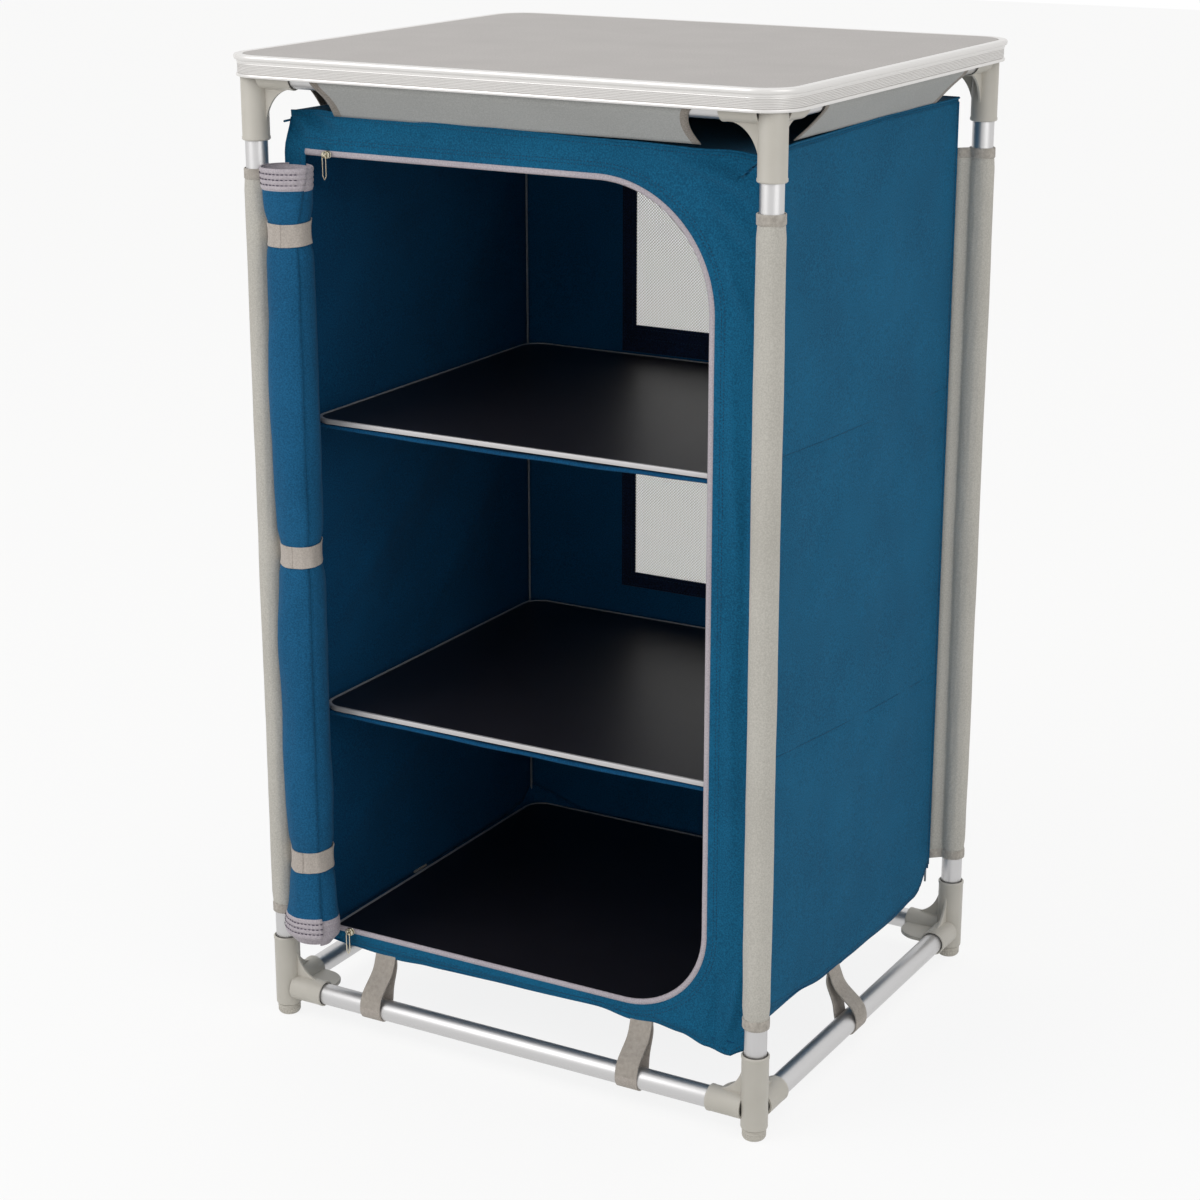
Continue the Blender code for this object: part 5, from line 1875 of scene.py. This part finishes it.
@dataclass
class DoorRoll:
    """The door rolled up in four turns, held by three overlapped ties."""

    half_w: float = 0.0243
    half_d: float = 0.0218
    turns: float = 4.0
    pitch: float = 0.0017
    flat: tuple[float, float] = (0.4425, 0.800)
    tape_h: float = 0.021
    ridges: int = 4

    def __post_init__(self) -> None:
        """Read the roll's place from its CAD node."""
        low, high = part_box("door_roll")
        self.centre = ((low.x + high.x) / 2, (low.y + high.y) / 2)
        self.low, self.high = low.z, high.z
        self.ties = [middle("door_tie_" + name).z for name in ("base", "middle", "top")]

    def swell(self, angle: float, z: float) -> float:
        """How much the outside stands out from the plain oval.

        Args:
            angle: Direction from the roll's middle.
            z: Height.

        Returns:
            Distance in metres.
        """
        out = 0.0016 * ripple(Vector((cos(angle), sin(angle), z * 9)), 1.0)
        out += 0.0007 * ripple(Vector((cos(angle) * 3, sin(angle) * 3, z * 30)), 1.0)
        body = 1.0
        for tie in self.ties:
            out -= 0.0029 * exp(-((abs(z - tie) / 0.017) ** 4))
            out -= 0.0013 * exp(-((z - tie) / 0.045) ** 2)
            body *= 1 - exp(-((z - tie) / 0.022) ** 2)
        for fold, rise in ((0.9, 22), (2.6, -17), (4.4, 14)):
            out += 0.0011 * body * max(0.0, cos(angle - fold - z * rise)) ** 6
        out += 0.0036 * exp(-((z - self.low) / 0.024) ** 2)
        out += 0.0014 * exp(-((z - self.high) / 0.016) ** 2)
        for depth in (z - self.low, self.high - z):
            if 0 <= depth < self.tape_h:
                out += 0.0012 * abs(sin(pi * depth * self.ridges / self.tape_h))
        return out

    def point(self, angle: float, z: float, depth: float) -> Vector:
        """Point in the roll.

        Args:
            angle: Direction from its middle.
            z: Height.
            depth: Distance inside the outer layer.

        Returns:
            The point.
        """
        grow = self.swell(angle, z) * max(0.0, 1 - depth / 0.006) - depth
        return Vector((self.centre[0] + (self.half_w + grow) * cos(angle),
            self.centre[1] + (self.half_d + grow) * sin(angle), z))

    def build(self) -> None:
        """Make the rolled cloth, its sewn ends and the ties."""
        collar = self.tape_h / self.ridges / 8
        levels = spread(self.low, self.low + self.tape_h, collar)
        tape_rows = len(levels) - 1
        levels += spread(levels[-1], self.high - self.tape_h, 0.0075)[1:]
        levels += spread(levels[-1], self.high, collar)[1:]
        columns = 176
        end = radians(-38)
        rows = []
        for z in levels:
            row = []
            for j in range(columns + 1):
                turned_by = self.turns * j / columns
                angle = end - tau * turned_by
                skew = radians(26) * max(0.0, 1 - (self.high - z) / 0.07) * max(0, 1 - turned_by)
                share = (z - self.low) / (self.high - self.low)
                height = z - 0.0032 * turned_by * (1 - share) - 0.0012 * turned_by * share
                row.append(self.point(angle + skew, height, self.pitch * turned_by - 0.0004))
            rows.append(row)

        def slot(i: int, _: int) -> int:
            """Give the sewn ends of the roll their tape."""
            return 1 if i < tape_rows or i >= len(levels) - 1 - tape_rows else 0

        roll = Skin().grid(rows, slot=slot).object("rolled_door", [ROLL_BLUE, TAPE])
        thicken(roll, 0.0008)
        place_piece(roll, "door", ["door_roll"])
        lines = []
        for base in (self.low, self.high - self.tape_h):
            for k in range(1, self.ridges):
                z = base + self.tape_h * k / self.ridges
                lines.append([self.point(radians(a), z, -0.0013) for a in range(-215, -36, 6)])
        sewn = BEADS.run("roll_stitches", lines, PLUM_THREAD, 0.0042, (0.0017, 0.00055, 0.0005))
        place_piece(sewn, "door")
        for name, z in zip(("base", "middle", "top"), self.ties):
            self.tie(name, z)

    def tie(self, name: str, z: float) -> None:
        """Make one tie with its overlapped end at the front.

        Args:
            name: Which tie.
            z: Its middle height.
        """
        rows = []
        steps = 90
        for share in (-0.5, -0.46, -0.25, 0.0, 0.25, 0.46, 0.5):
            row = []
            for j in range(steps + 1):
                angle = radians(-82 - 405 * j / steps)
                lift = 0.0016 * max(0.0, 1 - j / (steps * 0.16))
                sag = -0.0025 * cos(angle + pi / 2)
                row.append(self.point(angle, z + 0.022 * share + sag, -0.0019 - lift))
            rows.append(row)
        band = Skin().grid(rows).object(f"roll_tie_{name}", [SMOOTH_WEB])
        thicken(band, 0.0012)
        place_piece(band, "door", ["door_tie_" + name])


# ---------------------------------------------------------------- shelves
@dataclass
class Shelf:
    """Foiled board with an aluminium edge, on its cloth sling."""

    name: str
    trim: float = 0.0010
    lap: float = 0.0022
    drop: float = 0.0035

    def build(self) -> None:
        """Make the board, its edge and, for a hung shelf, its sling."""
        node = "shelf_board_" + self.name
        low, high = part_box(node)
        centre = (low + high) / 2
        half_w, half_d, half_t = (high - low) / 2
        outline = rounded_rectangle(half_w, half_d, 0.022, 16)
        board = prism(Skin(), outline, 2 * half_t, Matrix.Translation(centre), 0.0003)
        piece = board.object(node + "_panel", [BOARD], sharp=0.6, outward=True)
        place_piece(piece, "board_" + self.name, [node])
        t, lap = self.trim, self.lap
        section = [(-lap, half_t + 0.0005), (t - 0.0004, half_t + 0.0005), (t, half_t),
            (t, -half_t), (t - 0.0004, -half_t - 0.0002), (-lap, -half_t - 0.0002),
            (-lap, -half_t + 0.0001), (-0.0001, -half_t + 0.0001),
            (-0.0001, half_t - 0.0001), (-lap, half_t - 0.0001)]
        edge = swept_rim(Skin(), section, half_w, half_d, 0.022, centre, 16)
        piece = edge.object(node + "_edge", [TRIM], sharp=0.7, outward=True)
        place_piece(piece, "board_" + self.name)
        if self.name != "floor":
            self.sling(centre.z - half_t - 0.0006, low.y)

    def sling(self, z: float, front: float) -> None:
        """Make the cloth sling under the board, with its folded front edge.

        Args:
            z: Height of the sling's upper face.
            front: The board's front edge.
        """
        side = HALF_W - CLOTH_T - 0.0003
        path = [(front - 0.0012, z - self.drop), (front - 0.0016, z - self.drop / 2),
            (front - 0.0008, z - 0.0008), (front + 0.0008, z)]
        path += [(y, z) for y in spread(front + 0.004, BACK_Y - 0.002, 0.014)]
        rows = []
        for y, height in path:
            rows.append([Vector((x, y, height - 0.0022 * (1 - (x / side) ** 2)
                + 0.0009 * ripple(Vector((x, y, z)), 0.05))) for x in spread(-side, side, 0.012)])
        cloth = Skin().grid(rows).object(f"shelf_sling_{self.name}_cloth", [NAVY])
        thicken(cloth, CLOTH_T, 0)
        place_piece(cloth, STATIC, ["shelf_sling_" + self.name])


# ---------------------------------------------------------------- flaps, sleeves, straps
@dataclass
class TopFlap:
    """Grey flap round a top rail that carries the cabinet, bound at its slanted ends."""

    side: str
    sag: float = 0.0060
    binding: float = 0.0085

    def build(self) -> None:
        """Make the flap."""
        node = "top_flap_" + self.side
        low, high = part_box(node)
        along_x = self.side in ("front", "rear")
        sign = -1 if self.side in ("front", "left") else 1
        half_top = (high.x - low.x) / 2 if along_x else (high.y - low.y) / 2
        half_base = half_top - (0.007 if along_x else 0.005)
        rail = LEG.y if along_x else LEG.x
        wall = BACK_Y if along_x else HALF_W
        path = self.path(rail, wall)
        ends = []
        for i, (out, z) in enumerate(path):
            share = i / (len(path) - 1)
            drop = max(0.0, (TOP_RAIL_Z - z) / (TOP_RAIL_Z - path[-1][1]))
            ends.append(half_top + (half_base - half_top) * drop
                - self.sag * sin(pi * min(1.0, drop)) * (share > 0.5))
        bound_at = 1 - self.binding / half_top
        inner = spread(-bound_at, bound_at, 0.04)
        columns = [-1.0, -(1 + bound_at) / 2, *inner, (1 + bound_at) / 2, 1.0]
        rows = []
        for (out, z), half in zip(path, ends):
            row = []
            for at in columns:
                bound = 0.0006 if abs(at) > bound_at else 0.0
                soft = 0.0010 * ripple(Vector((at * half, z, sign)), 0.05) \
                    * max(0.0, min(1.0, (TOP_RAIL_Z - z) / 0.01))
                place = sign * (out + bound + soft)
                along = -sign * at * half
                row.append(Vector((along, place, z)) if along_x else Vector((place, -along, z)))
            rows.append(row)
        last = len(columns) - 2

        def slot(_: int, j: int) -> int:
            """Give the ends of the row their own finish."""
            return 1 if j < 2 or j > last - 2 else 0

        flap = Skin().grid(rows, slot=slot).object(node + "_cloth", [GREY, BINDING])
        thicken(flap, 0.0010)
        place_piece(flap, STATIC, [node])
        length = sum(hypot(b[0] - a[0], b[1] - a[1]) for a, b in zip(path, path[1:]))

    def path(self, rail: float, wall: float) -> list[tuple[float, float]]:
        """Section of the flap as (outward, height) points, from its tucked end.

        Args:
            rail: The rail's distance from the middle.
            wall: The wall's distance from the middle.

        Returns:
            The points.
        """
        radius = TUBE_R + 0.0009
        reach, drop = wall - rail, CAB_TOP_Z + 0.0010 - TOP_RAIL_Z
        distance = hypot(reach, drop)
        leave = atan2(drop, -reach) - acos(radius / distance)
        path = []
        steps = 30
        start = 1.0 - pi / 2
        for i in range(steps + 1):
            angle = start + (leave + tau - start) * i / steps
            path.append((rail - radius * cos(angle), TOP_RAIL_Z + radius * sin(angle)))
        end = (wall, TOP_RAIL_Z + drop)
        first = path[-1]
        for i in range(1, 11):
            share = i / 10
            path.append((first[0] + (end[0] - first[0]) * share,
                first[1] + (end[1] - first[1]) * share))
        return path


@dataclass
class LegSleeve:
    """Grey sleeve round a leg with gathered elastic ends and a web to the cabinet."""

    corner: str
    sx: int
    sy: int
    radius: float = 0.0134
    band_h: float = 0.0105

    def outline(self, grow: float, z: float, gathers: int = 0) -> list[Vector]:
        """Ring of points round the leg and out along the web.

        Args:
            grow: Distance outside the sleeve's own outline.
            z: Height.
            gathers: Number of small gathers round, or 0.

        Returns:
            The points.
        """
        leg = Vector((self.sx * LEG.x, self.sy * LEG.y, z))
        corner = Vector((self.sx * (HALF_W + 0.0008), self.sy * (BACK_Y + 0.0008), z))
        towards = atan2(corner.y - leg.y, corner.x - leg.x)
        half_t = 0.0009 + grow * 0.6
        length = (corner - leg).length
        radius = self.radius + grow
        gap = 0.14
        ring = []
        for i in range(65):
            angle = towards + gap + (tau - 2 * gap) * i / 64
            loose = 0.0006 * ripple(Vector((cos(angle), sin(angle), z * 7)), 1.0, self.sx) \
                + 0.0003 * ripple(Vector((cos(angle) * 4, sin(angle) * 4, z * 30)), 1.0)
            if gathers:
                loose = 0.00045 * cos(gathers * angle) \
                    + 0.0003 * ripple(Vector((cos(angle) * 9, sin(angle) * 9, z * 300)), 1.0)
            ring.append(leg + Vector((cos(angle), sin(angle), 0)) * (radius + loose))
        along = Vector((cos(towards), sin(towards), 0))
        across = Vector((-along.y, along.x, 0))
        near = radius + 0.0012
        for far, side in ((near, -1), ((near + length) / 2, -1), (length, -1), (length, 1),
                ((near + length) / 2, 1), (near, 1)):
            ring.append(leg + along * far + across * (half_t * side))
        return ring

    def build(self) -> None:
        """Make the sleeve and its two elastic ends."""
        node = "leg_sleeve_" + self.corner
        low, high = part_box(node)
        rows = []
        for z in spread(low.z + 0.004, high.z - 0.004, 0.009):
            end = min(z - low.z, high.z - z)
            taper = -0.0012 * max(0.0, 1 - (end - 0.008) / 0.012) if end < 0.020 else 0.0
            rows.append(self.outline(max(-0.0014, taper), z))
        sleeve = Skin().grid(rows, closed=True).object(node + "_cloth", [SLEEVE_GREY])
        thicken(sleeve, 0.0005)
        place_piece(sleeve, STATIC, [node])
        bands = Skin()
        for base in (low.z, high.z - self.band_h):
            levels = [base + self.band_h * share for share in (0, 0.08, 0.3, 0.5, 0.7, 0.92, 1)]
            ring = []
            for k, z in enumerate(levels):
                grow = -0.0010 if k in (0, len(levels) - 1) else -0.0004
                ring.append(self.outline(grow, z, 30))
            bands.grid(ring, closed=True)
        piece = bands.object(node + "_elastic", [ELASTIC])
        thicken(piece, 0.0006)
        place_piece(piece, STATIC)


@dataclass
class HoldDownStrap:
    """Hook-and-loop strap from the hem round a base rail."""

    name: str
    nodes: tuple[str, ...]
    along: float
    turn: float
    hem_z: float
    rail: float
    wall: float
    width: float = 0.024

    def build(self) -> None:
        """Make the strap as a hanging teardrop loop."""
        out = self.rail - self.wall
        r = TUBE_R + 0.0016
        z = BASE_RAIL_Z
        points = [(-0.0008, self.hem_z + 0.004), (0.0016, self.hem_z - 0.004),
            (out * 0.42, z + 0.034), (out + r * 0.62, z + 0.0165),
            (out + r, z + 0.001), (out + r * 0.7, z - r * 0.72), (out, z - r),
            (out - r * 0.72, z - r * 0.72), (out - r * 1.04, z + 0.003),
            (out - r * 1.28, z + 0.020), (-0.0030, z + 0.038),
            (-0.0032, self.hem_z - 0.002), (-0.0026, self.hem_z + 0.004)]
        path = smooth_path([(x, h, 0) for x, h in points], 6)
        turn = Matrix.Rotation(self.turn, 4, "Z")
        rows = []
        for share in (-0.5, -0.47, -0.25, 0.0, 0.25, 0.47, 0.5):
            row = []
            for i, point in enumerate(path):
                lag = 0.0010 * ripple(Vector((share, i * 0.12, self.along)), 1.0)
                row.append(turn @ Vector((self.along + self.width * share + lag * 0.4,
                    -(self.wall + point.x + lag * 0.3), point.y)))
            rows.append(row)
        first, last = round(len(path) * 0.30), round(len(path) * 0.72)

        def slot(_: int, j: int) -> int:
            """Give the ends of the row their own finish."""
            return 1 if first < j < last else 0

        strap = Skin().grid(rows, slot=slot).object(self.name, [WEBBING, SMOOTH_WEB])
        thicken(strap, 0.0015)
        place_piece(strap, STATIC, self.nodes)


def build_straps() -> None:
    """Make the six hold-down straps."""
    for name, x in (("front_left", -0.163), ("front_right", 0.140)):
        HoldDownStrap("hold_down_" + name, ("strap_" + name,), x, 0.0,
            follow(FRONT_HEM, x), LEG.y, BACK_Y).build()
    for name, x in (("rear_left", -0.163), ("rear_right", 0.140)):
        HoldDownStrap("hold_down_" + name, (), -x, pi, follow(BACK_HEM, x), LEG.y, BACK_Y).build()
    for side, sign, turn in (("left", -1, -pi / 2), ("right", 1, pi / 2)):
        node = "strap_side_" + side
        HoldDownStrap("hold_down_side_" + side, (node,), sign * middle(node).y, turn,
            follow(SIDE_HEM, middle(node).y), LEG.x, HALF_W).build()


# ---------------------------------------------------------------- studio
@dataclass
class Studio:
    """Pale floor, soft lights, white surroundings and the photograph's camera."""

    # Fitted to the legs and the top in the photograph, for a 36 mm wide sensor.
    camera_at: tuple[float, float, float] = (1.2859, -2.3000, 1.2608)
    heading: float = 0.5208
    pitch_down: float = 0.3041
    lens: float = 79.84

    def build(self) -> None:
        """Set everything up."""
        self.floor()
        self.world()
        self.lamp("key", (-1.6, -2.6, 2.6), 38.0, 2.2)
        self.lamp("fill", (2.9, -1.2, 1.9), 15.0, 2.0)
        self.lamp("top", (0.0, 0.2, 3.4), 6.0, 2.6)
        camera = bpy.data.objects.new("camera", bpy.data.cameras.new("camera"))
        bpy.context.scene.collection.objects.link(camera)
        camera.data.lens = self.lens
        camera.data.sensor_width = 36.0
        camera.data.clip_start = 0.05
        camera.location = self.camera_at
        camera.rotation_euler = (pi / 2 - self.pitch_down, 0.0, self.heading)
        scene = bpy.context.scene
        scene.camera = camera
        scene.view_settings.view_transform = "Standard"

    def floor(self) -> None:
        """Add the level floor under the feet."""
        skin = Skin()
        skin.grid([[Vector((x, y, 0)) for x in (-12, 12)] for y in (-12, 12)])
        floor = skin.object("floor", [FLOOR])

    def world(self) -> None:
        """Light the scene softly and show white behind it."""
        world = bpy.data.worlds.new("studio")
        bpy.context.scene.world = world
        world.use_nodes = True
        tree = world.node_tree
        tree.nodes.clear()
        through = seen_directly(tree)
        soft = add_node(tree, "ShaderNodeBackground", {"Color": linear("F8F7F5"),
            "Strength": 0.68})
        white = add_node(tree, "ShaderNodeBackground", {"Color": (1, 1, 1, 1), "Strength": 1.0})
        both = add_node(tree, "ShaderNodeMixShader", {0: through.outputs[0], 1: soft.outputs[0],
            2: white.outputs[0]})
        add_node(tree, "ShaderNodeOutputWorld", {0: both.outputs[0]})

    def lamp(self, name: str, place: tuple[float, float, float], power: float,
            size: float) -> None:
        """Add one soft square light that faces the object.

        Args:
            name: Its name.
            place: Where it stands.
            power: Watts.
            size: Side length in metres.
        """
        lamp = bpy.data.lights.new(name, "AREA")
        lamp.energy = power
        lamp.size = size
        obj = bpy.data.objects.new(name, lamp)
        bpy.context.scene.collection.objects.link(obj)
        obj.location = place
        aim = Vector((0, 0, 0.5)) - Vector(place)
        obj.rotation_euler = aim.to_track_quat("-Z", "Y").to_euler()


def main() -> None:
    """Build every piece, then the studio."""
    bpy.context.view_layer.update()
    Tabletop().build()
    TubeFrame().build()
    Connector("top").build()
    Connector("base", arm_r=0.0132).build()
    for corner, _, _ in CORNERS:
        LevelFoot(corner).build()
    CabinetShell().build()
    ZipRun().build()
    for name in ("top", "base"):
        ZipSlider(name).build()
    DoorRoll().build()
    for name in ("upper", "middle", "floor"):
        Shelf(name).build()
    for side in ("front", "rear", "left", "right"):
        TopFlap(side).build()
    for corner, sx, sy in CORNERS:
        LegSleeve(corner, sx, sy).build()
    build_straps()
    Studio().build()


if __name__ == "__main__":
    logging.basicConfig(level=logging.INFO, format="%(message)s")
    main()
